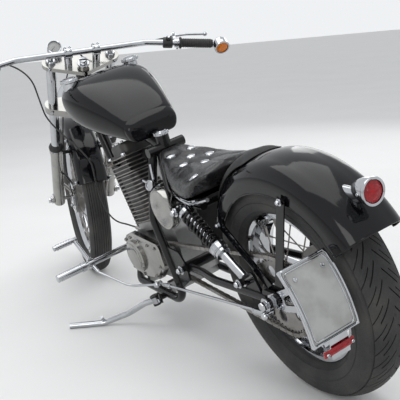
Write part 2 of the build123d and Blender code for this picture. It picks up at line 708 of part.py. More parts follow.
# Tail lamp: teardrop foot on the fender, bullet housing with a round red lens
lamp_reach = fender_radius + 60
lamp_x = fender_x + lamp_reach * cos(radians(134.5))
lamp_z = fender_z + lamp_reach * sin(radians(134.5))
lamp_radius = 32
lamp_length = 62
lens_radius = 27
lens_seat = 11
foot_angle = radians(128)
foot_dir = Vector(cos(foot_angle), 0, sin(foot_angle))
foot_point = Vector(fender_x, 0, fender_z) + foot_dir * (fender_radius - 3)
with BuildPart() as tail_lamp:
    with BuildSketch(Plane(origin=(lamp_x, 0, lamp_z), z_dir=(1, 0, 0))) as bezel:
        Circle(lamp_radius)
    with BuildSketch(Plane(origin=(lamp_x + lamp_length / 2, 0, lamp_z), z_dir=(1, 0, 0))) as middle_ring:
        Circle(lamp_radius - 5)
    with BuildSketch(Plane(origin=(lamp_x + lamp_length, 0, lamp_z), z_dir=(1, 0, 0))) as nose_ring:
        Circle(9)
    loft(sections=[bezel.sketch, middle_ring.sketch, nose_ring.sketch])
    with BuildSketch(Plane(origin=foot_point, x_dir=(0, 1, 0), z_dir=foot_dir)) as foot_low:
        Ellipse(15, 33)
    with BuildSketch(Plane(origin=(lamp_x + 28, 0, lamp_z - 10), x_dir=(0, 1, 0),
                           z_dir=foot_dir)) as foot_high:
        Ellipse(9, 16)
    loft(sections=[foot_low.sketch, foot_high.sketch])
    rod((lamp_x - 1, 0, lamp_z), (lamp_x + lens_seat + seat_gap, 0, lamp_z), lens_radius, Mode.SUBTRACT)
    cross_bar(fender_x, fender_z, -40, 40, crown_height(fender_wall / 2) + seat_gap, Mode.SUBTRACT)
save(tail_lamp.part, "tail_lamp")

with BuildPart() as tail_lens:
    rod((lamp_x + lens_seat, 0, lamp_z), (lamp_x, 0, lamp_z), lens_radius - seat_gap)
    with BuildSketch(Plane(origin=(lamp_x, 0, lamp_z), z_dir=(-1, 0, 0))) as lens_rim:
        Circle(lens_radius - seat_gap)
    with BuildSketch(Plane(origin=(lamp_x - 9, 0, lamp_z), z_dir=(-1, 0, 0))) as lens_top:
        Circle(lens_radius - 12)
    loft(sections=[lens_rim.sketch, lens_top.sketch])
save(tail_lens.part, "tail_lens")

# Number plate at the left of the wheel, curved about the axle, with its frame, arm and reflector
plate_high_angle = 140
plate_low_angle = 178
plate_sheet = 3.5
plate_lip = 8
plate_edge = 5
plate_outer_y = plate_inner_y + plate_width
reflector_half = 45


def axle_arc(radius, thickness, y_low, y_high, start, end):
    """Sheet curved about the rear axle between two angles, in the part being built."""
    angle = radians(start)
    with BuildSketch(Plane(origin=(0, 0, rear_radius), x_dir=(0, 1, 0),
                           z_dir=(sin(angle), 0, -cos(angle)))) as strip:
        with Locations(((y_low + y_high) / 2, radius + thickness / 2)):
            Rectangle(y_high - y_low, thickness)
    revolve(strip.sketch, axis=Axis((0, 0, rear_radius), (0, -1, 0)), revolution_arc=end - start)


def around_axle(radius, angle):
    """Side view point at a radius and an angle about the rear axle."""
    return (radius * cos(radians(angle)), rear_radius + radius * sin(radians(angle)))


sheet_radius = plate_radius - plate_sheet - seat_gap
plate_middle_y = (plate_inner_y + plate_outer_y) / 2
with BuildPart() as plate_frame:
    axle_arc(sheet_radius, plate_sheet, plate_inner_y, plate_outer_y, plate_high_angle, plate_low_angle)
    for edge_y in (plate_inner_y, plate_outer_y - plate_edge):
        axle_arc(sheet_radius, plate_lip, edge_y, edge_y + plate_edge, plate_high_angle, plate_low_angle)
    for edge_angle in (plate_high_angle, plate_low_angle - 1):
        axle_arc(sheet_radius, plate_lip, plate_inner_y, plate_outer_y, edge_angle, edge_angle + 1)
    axle_arc(sheet_radius, plate_sheet, plate_arm_y, plate_middle_y + 20, plate_low_angle, 189)
    arm_reach = sheet_radius + 2
    flat_bar([(-10, rear_radius - 17), (17, rear_radius - 8), (15, rear_radius + 14),
              (-60, rear_radius + 50),
              around_axle(arm_reach, 150), around_axle(arm_reach, 161), around_axle(arm_reach, 172),
              (-60, rear_radius - 12)], plate_arm_y, plate_arm_y + plate_arm_thickness)
    flat_bar([(-60, rear_radius + 30), around_axle(arm_reach - 34, 153), around_axle(arm_reach - 30, 168),
              (-60, rear_radius + 6)], plate_arm_y - 1, plate_arm_y + plate_arm_thickness + 1, 6, Mode.SUBTRACT)
    cross_bar(0, rear_radius, 60, 160, axle_radius + seat_gap, Mode.SUBTRACT)
save(plate_frame.part, "plate_frame")

with BuildPart() as number_plate:
    axle_arc(plate_radius, 1.4, plate_inner_y + plate_edge + seat_gap,
             plate_outer_y - plate_edge - seat_gap,
             plate_high_angle + 1.2, plate_low_angle - 1.2)
save(number_plate.part, "number_plate")

with BuildPart() as reflector:
    axle_arc(plate_radius, 6, plate_middle_y - reflector_half, plate_middle_y + reflector_half, 182, 187)
save(reflector.part, "reflector")

# Final drive chain: one fixed loop on the pitch line, laid on the sprockets in straight links
chain_span = hypot(gearbox_x, gearbox_z - rear_radius)
chain_slope = degrees(atan2(gearbox_z - rear_radius, gearbox_x))
chain_wrap = degrees(acos((chain_pitch_radius - gearbox_pitch_radius) / chain_span))


def chain_outline(offset_line):
    """Points of the loop round both sprockets, in side view, at an offset from the pitch line."""
    points = []
    for centre, radius, start, end, steps in (
            (0, chain_pitch_radius + offset_line, chain_wrap, 360 - chain_wrap, 14),
            (chain_span, gearbox_pitch_radius + offset_line, -chain_wrap, chain_wrap, 8)):
        step = (end - start) / steps
        corner = radius / cos(radians(step / 2))
        for number in range(steps):
            angle = radians(start + step * (number + 0.5) + chain_slope)
            middle = radians(chain_slope)
            points.append((centre * cos(middle) + corner * cos(angle),
                           rear_radius + centre * sin(middle) + corner * sin(angle)))
    return points


with BuildPart() as drive_chain:
    flat_bar(chain_outline(chain_rise), chain_y - chain_half, chain_y - chain_half + chain_plate)
    flat_bar(chain_outline(chain_rise), chain_y + chain_half - chain_plate, chain_y + chain_half)
    flat_bar(chain_outline(chain_rise / 2), chain_y - chain_half + chain_plate,
             chain_y + chain_half - chain_plate)
    flat_bar(chain_outline(-chain_rise), chain_y - chain_half, chain_y - chain_half + chain_plate,
             mode=Mode.SUBTRACT)
    flat_bar(chain_outline(-chain_rise), chain_y + chain_half - chain_plate, chain_y + chain_half,
             mode=Mode.SUBTRACT)
    flat_bar(chain_outline(-band_inside), chain_y - chain_half + chain_plate,
             chain_y + chain_half - chain_plate,
             mode=Mode.SUBTRACT)
save(drive_chain.part, "drive_chain")

# Left footrest, brake pedal and the rods back to the brake lever beside the rear axle
peg_y = 388
peg_length = 92
pedal_y = 262
pedal_toe = (978, 360)
toe_length = 76
lever_low = (8, rear_radius - 32)
with BuildPart() as left_controls:
    cross_bar(footrest_x, footrest_z, 40, peg_y - peg_length + 2, footrest_radius)
    cross_bar(footrest_x, footrest_z, peg_y - peg_length, peg_y, 13)
    cross_bar(footrest_x, footrest_z, peg_y - peg_length - 12, peg_y - peg_length + 4, 17)
    cross_bar(footrest_x, footrest_z, pedal_y - 9, pedal_y + 9, 17)
    rod((footrest_x, pedal_y, footrest_z), (pedal_toe[0], pedal_y + 10, pedal_toe[1]), 7)
    cross_bar(*pedal_toe, pedal_y, pedal_y + 10 + toe_length, 9)
    rod((footrest_x, pedal_y, footrest_z), (868, pedal_y - 4, 254), 6)
    bent_tube([(868, pedal_y - 4, 254), (760, 205, 203), (664, 146, 206)], 4, (120,))
    cross_bar(664, 206, 130, 152, 9)
    rod((664, 136, 206), (lever_low[0], brake_lever_y + brake_lever_thickness + 6, lever_low[1]), 4.5)
    cross_bar(*lever_low, brake_lever_y, brake_lever_y + brake_lever_thickness + 11, 9)
    flat_bar([(-13, rear_radius + 8), (-11, rear_radius - 8), (lever_low[0] - 8, lever_low[1] - 6),
              (lever_low[0] + 8, lever_low[1] - 6), (14, rear_radius + 8), (0, rear_radius + 15)],
             brake_lever_y, brake_lever_y + brake_lever_thickness)
    cross_bar(0, rear_radius, 90, 160, axle_radius + seat_gap, Mode.SUBTRACT)
save(left_controls.part, "left_controls")

shift_y = case_half + 18 + seat_gap
with BuildPart() as right_controls:
    cross_bar(footrest_x, footrest_z, -peg_y + peg_length - 2, -40, footrest_radius)
    cross_bar(footrest_x, footrest_z, -peg_y, -peg_y + peg_length, 13)
    cross_bar(footrest_x, footrest_z, -peg_y + peg_length - 4, -peg_y + peg_length + 12, 17)
    cross_bar(footrest_x, footrest_z, -pedal_y - 9, -pedal_y + 9, 17)
    rod((footrest_x, -pedal_y, footrest_z), (pedal_toe[0], -pedal_y - 10, pedal_toe[1]), 7)
    cross_bar(*pedal_toe, -pedal_y - 10 - toe_length, -pedal_y, 9)
    rod((footrest_x, -pedal_y, footrest_z), (868, -pedal_y + 4, 262), 6)
    bent_tube([(868, -pedal_y + 4, 262), (790, -196, 272), (690, -shift_y - 22, 290)], 4, (120,))
    cross_bar(690, 290, -shift_y - 30, -shift_y, 9)
save(right_controls.part, "right_controls")

# Side stand: bent bar on an upright pin, its outer end flat on the floor
foot_lift = stand_radius / cos(radians(lean))
stand_out = Vector(0.718, 0.670, -0.190)
knee_x = 860
knee_y = 300
with BuildPart() as side_stand:
    bent_tube([stand_pivot, stand_pivot + stand_out * 42, (806, 222, 92),
               (knee_x, knee_y, floor_height(knee_x, knee_y) + foot_lift),
               (stand_foot_x, stand_foot_y, floor_height(stand_foot_x, stand_foot_y) + foot_lift)],
              stand_radius, (30, 60, 60))
    rod(stand_pivot - stand_hinge * stand_knuckle, stand_pivot + stand_hinge * stand_knuckle, stand_knuckle)
    rod((862, 296, 80), (844, 310, 108), 6)
    rod(stand_pivot - stand_hinge * 20, stand_pivot + stand_hinge * 20, stand_pin + running_gap,
        Mode.SUBTRACT)
save(side_stand.part, "side_stand")

# Front end: stanchions, sliders with the axle and the brake plate
tube_start = 250
axle_half = fork_half + 30
front_plate_y = 42
front_plate_radius = 72
with BuildPart() as fork_tubes:
    for side in (1, -1):
        rod(fork_point(tube_start, side * fork_half), fork_point(fork_length, side * fork_half),
            stanchion_radius)
save(fork_tubes.part, "fork_tubes", True)

with BuildPart() as fork_sliders:
    for side in (1, -1):
        leg_y = side * fork_half
        rod(fork_point(-18, leg_y), fork_point(slider_top, leg_y), slider_radius)
        rod(fork_point(slider_top - 14, leg_y), fork_point(slider_top, leg_y), slider_radius + 2.5)
        rod(fork_point(tube_start - 2, leg_y), fork_point(slider_top + 1, leg_y),
            stanchion_radius + seat_gap,
            Mode.SUBTRACT)
        rod(fork_point(0, side * (axle_half - 8)), fork_point(0, side * axle_half), 14)
    rod(fork_point(0, -axle_half), fork_point(0, axle_half), axle_radius)
    rod(fork_point(0, front_plate_y), fork_point(0, front_plate_y + 9), front_plate_radius)
    rod(fork_point(52, front_plate_y + 6, -30), fork_point(96, fork_half - 18, -8), 7)
save(fork_sliders.part, "fork_sliders", True)

# Yokes: plates joining both legs to the stem
yoke_top = fork_length - 6
lower_yoke_low = head_bottom - 6 - lower_yoke_thickness


def yoke_plate(up, thickness, leg_ring, stem_ring):
    """Plate round both legs and the stem, in the part being built."""
    level = Plane(origin=fork_point(up, 0), x_dir=(0, 1, 0), z_dir=steer_up)
    with BuildSketch(level) as outline:
        with Locations((fork_half, 0), (-fork_half, 0)):
            Circle(leg_ring)
        with Locations((0, fork_offset)):
            Circle(stem_ring)
        make_hull()
    extrude(outline.sketch, amount=thickness)
    for side in (1, -1):
        rod(fork_point(up - 20, side * fork_half), fork_point(up + thickness + 20, side * fork_half),
            stanchion_radius + seat_gap, Mode.SUBTRACT)


with BuildPart() as top_yoke:
    yoke_plate(yoke_top - yoke_thickness, yoke_thickness, 31, 33)
    rod(fork_point(yoke_top - 1, 0, -fork_offset), fork_point(yoke_top + 12, 0, -fork_offset), 18)
    rod(fork_point(yoke_top - 40, 0, -fork_offset), fork_point(yoke_top + seat_gap, 0, -fork_offset),
        stem_radius + seat_gap, Mode.SUBTRACT)
save(top_yoke.part, "top_yoke", True)

with BuildPart() as lower_yoke:
    yoke_plate(lower_yoke_low, lower_yoke_thickness, 31, 33)
    rod(fork_point(lower_yoke_low, 0, -fork_offset), fork_point(yoke_top, 0, -fork_offset), stem_radius)
save(lower_yoke.part, "lower_yoke", True)

# Handlebar on two risers, with lever perches and the chrome signal housings at its ends
bar_up = yoke_top + bar_rise
riser_y = 50
perch_y = 332
bar_out = bar_reach - fork_offset


def bar_point(y, ahead=0.0, up=0.0):
    """Point on the swept end of the bar at a distance y, moved ahead and up."""
    swept = (abs(y) - bar_bend_y) / (bar_half - bar_bend_y)
    return fork_point(bar_up + up, y, bar_out - bar_sweep * swept + ahead)


signal_back = 22
signal_front = 20
signal_depth = 9
with BuildPart() as handlebar:
    bent_tube([bar_point(-bar_half), fork_point(bar_up, -bar_bend_y, bar_out),
               fork_point(bar_up, bar_bend_y, bar_out),
               bar_point(bar_half)], bar_radius, (90, 90))
    for side in (1, -1):
        rod(fork_point(yoke_top + seat_gap, side * riser_y, bar_out),
            fork_point(bar_up, side * riser_y, bar_out), 14)
        rod(fork_point(bar_up, side * (riser_y - 13), bar_out),
            fork_point(bar_up, side * (riser_y + 13), bar_out),
            19)
        rod(bar_point(side * perch_y), bar_point(side * (perch_y + 16)), 17)
        rod(bar_point(side * (perch_y + 6)), bar_point(side * (perch_y + 10), 44), 8)
        bent_tube([bar_point(side * (perch_y + 8), 40), bar_point(side * (perch_y + 60), 52),
                   bar_point(side * (bar_half - 14), 56)], 5, (60,))
        pod = bar_point(side * (bar_half + signal_radius - 5))
        rod(pod - steer_out * signal_back, pod + steer_out * 4, signal_radius)
        with BuildSketch(Plane(origin=pod + steer_out * 4, z_dir=steer_out)) as pod_rim:
            Circle(signal_radius)
        with BuildSketch(Plane(origin=pod + steer_out * (4 + signal_front), z_dir=steer_out)) as pod_nose:
            Circle(signal_radius - 15)
        loft(sections=[pod_rim.sketch, pod_nose.sketch])
        rod(pod - steer_out * (signal_back + 1), pod - steer_out * (signal_back - signal_depth),
            signal_radius - 4,
            Mode.SUBTRACT)
save(handlebar.part, "handlebar", True)

with BuildPart() as bar_grips:
    for side in (1, -1):
        grip_in = bar_half - grip_length - 4
        rod(bar_point(side * grip_in), bar_point(side * (bar_half - 4)), grip_radius)
        rod(bar_point(side * grip_in), bar_point(side * (grip_in + 8)), grip_radius + 5)
        rod(bar_point(side * (grip_in - 6)), bar_point(side * (bar_half + 4)), bar_radius + seat_gap,
            Mode.SUBTRACT)
save(bar_grips.part, "bar_grips", True)

with BuildPart() as signal_lenses:
    for side in (1, -1):
        pod = bar_point(side * (bar_half + signal_radius - 5))
        face = pod - steer_out * (signal_back - signal_depth + seat_gap)
        rod(face, face - steer_out * signal_depth, signal_radius - 4 - seat_gap)
        with BuildSketch(Plane(origin=face - steer_out * signal_depth, z_dir=-steer_out)) as lens_base:
            Circle(signal_radius - 4 - seat_gap)
        with BuildSketch(Plane(origin=face - steer_out * (signal_depth + 6),
                               z_dir=-steer_out)) as lens_crown:
            Circle(signal_radius - 14)
        loft(sections=[lens_base.sketch, lens_crown.sketch])
save(signal_lenses.part, "signal_lenses", True)

# Speedometer on a short arm ahead of the bar
gauge_radius = 25
gauge_y = 84
gauge_depth = 30
gauge_axis = (steer_up * 0.92 - steer_out * 0.39).normalized()
gauge_face = fork_point(bar_up - 22, gauge_y, 42)
with BuildPart() as speedometer:
    rod(gauge_face - gauge_axis * gauge_depth, gauge_face, gauge_radius)
    chamfer(speedometer.faces().sort_by(Axis(gauge_face, gauge_axis))[0].edges(), 7)
    rod(gauge_face - gauge_axis * 3, gauge_face + gauge_axis * 2, gauge_radius - 3, Mode.SUBTRACT)
    rod(fork_point(yoke_top + seat_gap, gauge_y, 8), fork_point(yoke_top + 12, gauge_y, 8), 5)
    rod(fork_point(yoke_top + 7, gauge_y, 8), gauge_face - gauge_axis * gauge_depth * 0.6, 5)
save(speedometer.part, "speedometer", True)

# Head lamp: bullet shell on a post from the lower yoke
shell_centre = fork_point(440, 0, 128)
shell_radius = 62
shell_sections = [(48, shell_radius - 4), (30, shell_radius), (-18, shell_radius - 8), (-56, 32), (-70, 12)]
glass_depth = 16
with BuildPart() as headlight:
    rings = []
    for ahead, radius in shell_sections:
        with BuildSketch(Plane(origin=shell_centre + Vector(ahead, 0, 0), z_dir=(-1, 0, 0))) as ring:
            Circle(radius)
        rings.append(ring.sketch)
    loft(sections=rings, ruled=True)
    front_face = shell_centre + Vector(shell_sections[0][0], 0, 0)
    rod(front_face + Vector(1, 0, 0), front_face - Vector(glass_depth + seat_gap, 0, 0),
        shell_radius - 10, Mode.SUBTRACT)
    post_top = fork_point(lower_yoke_low - seat_gap, 0, 12)
    post_foot = post_top - steer_up * 24
    rod(post_foot, post_top, 8)
    rod(post_foot + steer_up * 6, shell_centre + Vector(-34, 0, 18), 8)
save(headlight.part, "headlight", True)

with BuildPart() as headlight_lens:
    glass_radius = shell_radius - 10 - seat_gap
    rod(front_face - Vector(glass_depth, 0, 0), front_face, glass_radius)
    with BuildSketch(Plane(origin=front_face, z_dir=(1, 0, 0))) as glass_rim:
        Circle(glass_radius)
    with BuildSketch(Plane(origin=front_face + Vector(8, 0, 0), z_dir=(1, 0, 0))) as glass_top:
        Circle(glass_radius - 26)
    loft(sections=[glass_rim.sketch, glass_top.sketch])
save(headlight_lens.part, "headlight_lens", True)

# Front fender close over the tyre, held by brackets to the sliders and a stay each side
front_fender_radius = 347
front_fender_half = 60
front_fender_wall = 2.5
front_fender_start = 62
front_fender_end = 160
bracket_up = 276


def around_front(radius, angle, y):
    """Point at a radius and an angle about the front axle, before the front end is turned."""
    return axle_front + Vector(radius * cos(radians(angle)), y, radius * sin(radians(angle)))


with BuildPart() as front_fender:
    start = radians(front_fender_start)
    with BuildSketch(Plane(origin=axle_front, x_dir=(0, 1, 0),
                           z_dir=(sin(start), 0, -cos(start)))) as front_sheet:
        for half, radius, low, mode in ((front_fender_half, front_fender_radius, 46, Mode.ADD),
                                        (front_fender_half - front_fender_wall,
                                         front_fender_radius - front_fender_wall, 48, Mode.SUBTRACT)):
            with BuildLine():
                edge = FilletPolyline((-half, front_fender_radius - low), (-half, radius - 10), (0, radius),
                                      (half, radius - 10), (half, front_fender_radius - low),
                                      radius=(half - 30, 90, half - 30))
                Line(edge @ 0, edge @ 1)
            make_face(mode=mode)
    revolve(front_sheet.sketch, axis=Axis(axle_front, (0, -1, 0)),
            revolution_arc=front_fender_end - front_fender_start)
    for side in (1, -1):
        skirt_y = side * (front_fender_half - front_fender_wall)
        corners = [around_front(front_fender_radius - 26, 84 + rake, 0),
                   around_front(front_fender_radius - 26, 96 + rake, 0),
                   around_front(bracket_up - 8, 93 + rake, 0), around_front(bracket_up - 8, 87 + rake, 0)]
        flat_bar([(corner.X, corner.Z) for corner in corners], skirt_y,
                 skirt_y + side * (front_fender_wall + 1))
        rod(fork_point(bracket_up, skirt_y),
            fork_point(bracket_up, side * (fork_half - slider_radius - seat_gap)), 7)
        bent_tube([around_front(front_fender_radius - 30, front_fender_end - 2, side * front_fender_half),
                   around_front(240, front_fender_end - 4, side * (front_fender_half + 8)),
                   fork_point(150, side * (fork_half - slider_radius - 5 - seat_gap))], 5, (40,))
save(front_fender.part, "front_fender", True)


# Wheels
def wheel_ring(centre, points):
    """Revolve a section given on one side, as (y, radius) points, and mirrored to the other side."""
    mirrored = [(-y, r) for y, r in reversed(points) if y > 0]
    ring_profile(centre.X, centre.Z, points + mirrored)


def spokes(centre, flange, rim_radius, rim_y, twist):
    """Laced spokes from two flanges, given as (y, radius), to the rim, in the part being built."""
    for side, (flange_y, flange_radius) in zip((1, -1), flange):
        for number in range(spokes_per_flange):
            start = 360 / spokes_per_flange * (number + (0.5 if side < 0 else 0))
            end = start + (twist if number % 2 else -twist)
            low = radians(start)
            high = radians(end)
            rod((centre.X + flange_radius * cos(low), flange_y, centre.Z + flange_radius * sin(low)),
                (centre.X + rim_radius * cos(high), side * rim_y,
                 centre.Z + rim_radius * sin(high)), spoke_radius)


rear_centre = Vector(0, 0, rear_radius)
front_centre = Vector(wheelbase, 0, front_radius)
with BuildPart() as rear_tyre:
    wheel_ring(rear_centre, rear_section)
save(rear_tyre.part, "rear_tyre")

with BuildPart() as front_tyre:
    wheel_ring(front_centre, front_section)
save(front_tyre.part, "front_tyre", True)


def rim_section(half, radius, well):
    """Closed rim section on one side, from its deep well out to the lip and back under the tyre."""
    inner = half - rim_wall
    return [(0, radius - well), (half * 0.45, radius - well), (half * 0.8, radius - 17),
            (half, radius - 13),
            (half, radius), (inner, radius), (inner, radius - 8), (half * 0.7, radius - 12),
            (half * 0.4, radius - well + 5), (0, radius - well + 5)]


rear_well = 25
front_well = 22
with BuildPart() as rear_rim:
    wheel_ring(rear_centre, rim_section(rear_rim_half, rear_rim_radius, rear_well))
save(rear_rim.part, "rear_rim")

with BuildPart() as front_rim:
    wheel_ring(front_centre, rim_section(front_rim_half, front_rim_radius, front_well))
save(front_rim.part, "front_rim", True)

sprocket_inner_y = chain_y - sprocket_thickness / 2
hub_flange_y = 50
hub_flange_radius = 50
with BuildPart() as rear_hub:
    cross_bar(0, rear_radius, -78, sprocket_inner_y - seat_gap, 30)
    for flange_y in (-hub_flange_y - 3, hub_flange_y - 3):
        cross_bar(0, rear_radius, flange_y, flange_y + 6, hub_flange_radius + 5)
    cross_bar(0, rear_radius, 60, sprocket_inner_y - seat_gap, 46)
    cross_bar(0, rear_radius, -70, -hub_flange_y, 80)
    spokes(rear_centre, ((hub_flange_y, hub_flange_radius), (-hub_flange_y - 6, 78)),
           rear_rim_radius - rear_well - spoke_gap, 8, 24)
    cross_bar(0, rear_radius, -120, 120, axle_radius + running_gap, Mode.SUBTRACT)
save(rear_hub.part, "rear_hub")

# Rear sprocket: toothed ring, dished disc with five windows
tooth_count = 44
tooth_tip = chain_pitch_radius - band_inside - 2.5
tooth_root = tooth_tip - 7
with BuildPart() as rear_sprocket:
    teeth = []
    for number in range(tooth_count):
        for share, radius in ((-0.32, tooth_root), (-0.12, tooth_tip), (0.12, tooth_tip),
                              (0.32, tooth_root)):
            angle = radians((number + share) * 360 / tooth_count)
            teeth.append((radius * cos(angle), rear_radius + radius * sin(angle)))
    flat_bar(teeth, sprocket_inner_y, sprocket_inner_y + sprocket_thickness)
    for number in range(5):
        angle = radians(number * 72)
        cross_bar(70 * cos(angle), rear_radius + 70 * sin(angle), sprocket_inner_y - 1,
                  sprocket_inner_y + sprocket_thickness + 1, 17, Mode.SUBTRACT)
    cross_bar(0, rear_radius, 60, 120, axle_radius + running_gap, Mode.SUBTRACT)
save(rear_sprocket.part, "rear_sprocket")

drum_radius = 73
with BuildPart() as front_hub:
    rod(front_centre - Vector(0, fork_half - slider_radius - 20, 0),
        front_centre + Vector(0, front_plate_y - 1, 0), 24)
    rod(front_centre + Vector(0, 14, 0), front_centre + Vector(0, front_plate_y - 1, 0), drum_radius)
    rod(front_centre - Vector(0, 38, 0), front_centre - Vector(0, 33, 0), 44)
    spokes(front_centre, ((34, drum_radius - 2), (-36, 40)), front_rim_radius - front_well - spoke_gap,
           6, 24)
    rod(front_centre - Vector(0, 100, 0), front_centre + Vector(0, 100, 0), axle_radius + running_gap,
        Mode.SUBTRACT)
save(front_hub.part, "front_hub", True)

# The origin is the middle of the whole box on the floor
boxes = [piece.bounding_box() for piece in pieces.values()]
low_x, high_x = min(box.min.X for box in boxes), max(box.max.X for box in boxes)
low_y, high_y = min(box.min.Y for box in boxes), max(box.max.Y for box in boxes)
to_origin = Vector(-(low_x + high_x) / 2, -(low_y + high_y) / 2, -min(box.min.Z for box in boxes))
for name, piece in pieces.items():
    placed = piece.moved(Location(to_origin))
    placed.label = name
    export_step(placed, f"parts/{name}.step")

parked_points = [
    ("rear axle", rear_centre, Vector(0, 1, 0), False),
    ("front axle", front_centre, Vector(0, 1, 0), True),
    ("steering", fork_point(head_bottom, 0, -fork_offset), steer_up, False),
    ("side stand", stand_pivot, stand_hinge, False),
    ("left grip", bar_point(bar_half - grip_length / 2), bar_point(bar_half) - bar_point(bar_bend_y), True),
    ("right grip", bar_point(grip_length / 2 - bar_half), bar_point(-bar_half) - bar_point(-bar_bend_y),
     True),
    ("left peg", Vector(footrest_x, peg_y - peg_length / 2, footrest_z), Vector(0, 1, 0), False),
    ("saddle", Vector(330, 0, seat_high), Vector(0, 0, 1), False),
]
print("box", high_x - low_x, high_y - low_y, max(box.max.Z for box in boxes) + to_origin.Z)
for name, point, along, steered in parked_points:
    ends = [stand_up(Vertex(*spot), steered).center() + to_origin for spot in (point, point + along)]
    print(name, ends[0], (ends[1] - ends[0]).normalized())
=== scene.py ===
import json
import math

import bpy
from mathutils import Matrix, Vector


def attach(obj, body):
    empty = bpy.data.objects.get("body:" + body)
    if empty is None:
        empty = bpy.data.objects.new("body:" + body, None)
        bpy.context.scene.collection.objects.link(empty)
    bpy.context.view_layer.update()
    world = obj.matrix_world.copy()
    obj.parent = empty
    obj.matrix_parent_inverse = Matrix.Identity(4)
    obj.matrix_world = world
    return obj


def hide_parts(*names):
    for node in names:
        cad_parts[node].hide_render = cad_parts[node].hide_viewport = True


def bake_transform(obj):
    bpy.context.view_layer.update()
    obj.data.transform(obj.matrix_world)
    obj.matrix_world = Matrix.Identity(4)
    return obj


# Chopper leaning on its side stand. New pieces are modelled upright with the rear axle above the
# origin, as in the solids, in metres: X forward, Y to the rider's left. They are parked at the end.

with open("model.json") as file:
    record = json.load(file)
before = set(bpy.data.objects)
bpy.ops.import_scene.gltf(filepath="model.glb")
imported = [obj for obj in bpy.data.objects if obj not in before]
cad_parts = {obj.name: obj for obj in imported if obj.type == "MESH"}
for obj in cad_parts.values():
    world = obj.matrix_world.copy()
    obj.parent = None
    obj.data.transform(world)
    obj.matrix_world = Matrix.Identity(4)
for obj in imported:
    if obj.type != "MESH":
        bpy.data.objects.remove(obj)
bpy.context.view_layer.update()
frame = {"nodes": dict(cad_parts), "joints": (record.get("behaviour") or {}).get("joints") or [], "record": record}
nodes = frame["nodes"]
joints = {joint["name"]: joint for joint in frame["joints"]}
print("frame loaded:", len(nodes), "nodes")

# Stance
stance = {"lean": 13.0, "turn": -16.0, "rake": 36.0, "wheelbase": 1.55, "rearRadius": 0.323,
          "frontRadius": 0.331, "forkOffset": 0.045}
rakeTurn = math.radians(stance["rake"])
steerUp = Vector((-math.sin(rakeTurn), 0, math.cos(rakeTurn)))
steerOut = Vector((math.cos(rakeTurn), 0, math.sin(rakeTurn)))
frontAxle = Vector((stance["wheelbase"], 0, stance["frontRadius"]))
rearAxle = Vector((0, 0, stance["rearRadius"]))
toFront, toSide, toTop = Vector((1, 0, 0)), Vector((0, 1, 0)), Vector((0, 0, 1))
# middles of round forms seen from the side, as (x, z)
rearHub, frontHub, fenderHub = (0, 0.323), (1.55, 0.331), (-0.04, 0.335)


def forkPoint(up, side, out=0.0):
    return frontAxle + steerUp * up + steerOut * out + toSide * side


def turnAbout(point, angle, axis):
    there = Matrix.Translation(point)
    return there @ Matrix.Rotation(math.radians(angle), 4, axis) @ there.inverted()


leanOnly = Matrix.Rotation(math.radians(-stance["lean"]), 4, "X")
wheelLine = Vector(joints["rear_wheel_spin"]["axis"])
noseAngle = math.atan2(-wheelLine.x, -wheelLine.z)
leaned = Matrix.Rotation(noseAngle, 4, "Y") @ leanOnly
parkedAxle = Vector(joints["rear_wheel_spin"]["pos_m"])
parkFixed = Matrix.Translation(parkedAxle - leaned @ rearAxle) @ leaned
parkSteered = parkFixed @ turnAbout(frontAxle - steerOut * stance["forkOffset"], stance["turn"], steerUp)


# Modelling helpers
def deselectAll():
    if bpy.context.mode != "OBJECT":
        bpy.ops.object.mode_set(mode="OBJECT")
    bpy.ops.object.select_all(action="DESELECT")


def pickOnly(piece):
    deselectAll()
    piece.select_set(True)
    bpy.context.view_layer.objects.active = piece


def startPiece(name):
    piece = bpy.context.object
    piece.name = name
    piece.data.name = name
    return piece


def choose(piece, kind, test):
    # selects the faces or edges whose place and direction pass the test, and stays in edit mode
    pickOnly(piece)
    bpy.ops.object.mode_set(mode="EDIT")
    bpy.ops.mesh.select_mode(type=kind)
    bpy.ops.mesh.select_all(action="DESELECT")
    bpy.ops.object.mode_set(mode="OBJECT")
    mesh = piece.data
    if kind == "FACE":
        for face in mesh.polygons:
            face.select = bool(test(face.center, face.normal))
    else:
        for edge in mesh.edges:
            start, end = (mesh.vertices[number].co for number in edge.vertices)
            edge.select = bool(test((start + end) / 2, end - start))
    bpy.ops.object.mode_set(mode="EDIT")


def modify(piece, kind, **settings):
    pickOnly(piece)
    modifier = piece.modifiers.new(kind, kind)
    for setting, value in settings.items():
        setattr(modifier, setting, value)
    bpy.ops.object.modifier_apply(modifier=modifier.name)


def tidyMesh(piece, gap=1e-5):
    pickOnly(piece)
    bpy.ops.object.mode_set(mode="EDIT")
    bpy.ops.mesh.select_all(action="SELECT")
    bpy.ops.mesh.remove_doubles(threshold=gap)
    bpy.ops.mesh.normals_make_consistent(inside=False)
    bpy.ops.object.mode_set(mode="OBJECT")
    return piece


def joinPieces(parts, name="part"):
    pickOnly(parts[0])
    for part in parts[1:]:
        part.select_set(True)
    if len(parts) > 1:
        bpy.ops.object.join()
    return startPiece(name)


def applyPlace(piece):
    pickOnly(piece)
    bpy.ops.object.transform_apply(location=True, rotation=True, scale=True)


def copyPiece(piece, place=Matrix.Identity(4)):
    # a copy with its own mesh, moved by a matrix
    twin = piece.copy()
    twin.data = piece.data.copy()
    bpy.context.scene.collection.objects.link(twin)
    twin.data.transform(place)
    return twin


def placeAlong(base, direction):
    return Matrix.Translation(base) @ Vector(direction).to_track_quat("Z", "Y").to_matrix().to_4x4()


def aroundPoint(centre, radius, angle, side=0.0):
    # place on a circle seen from the side, at an angle up from the front
    turn = math.radians(angle)
    return Vector((centre[0] + radius * math.cos(turn), side, centre[1] + radius * math.sin(turn)))


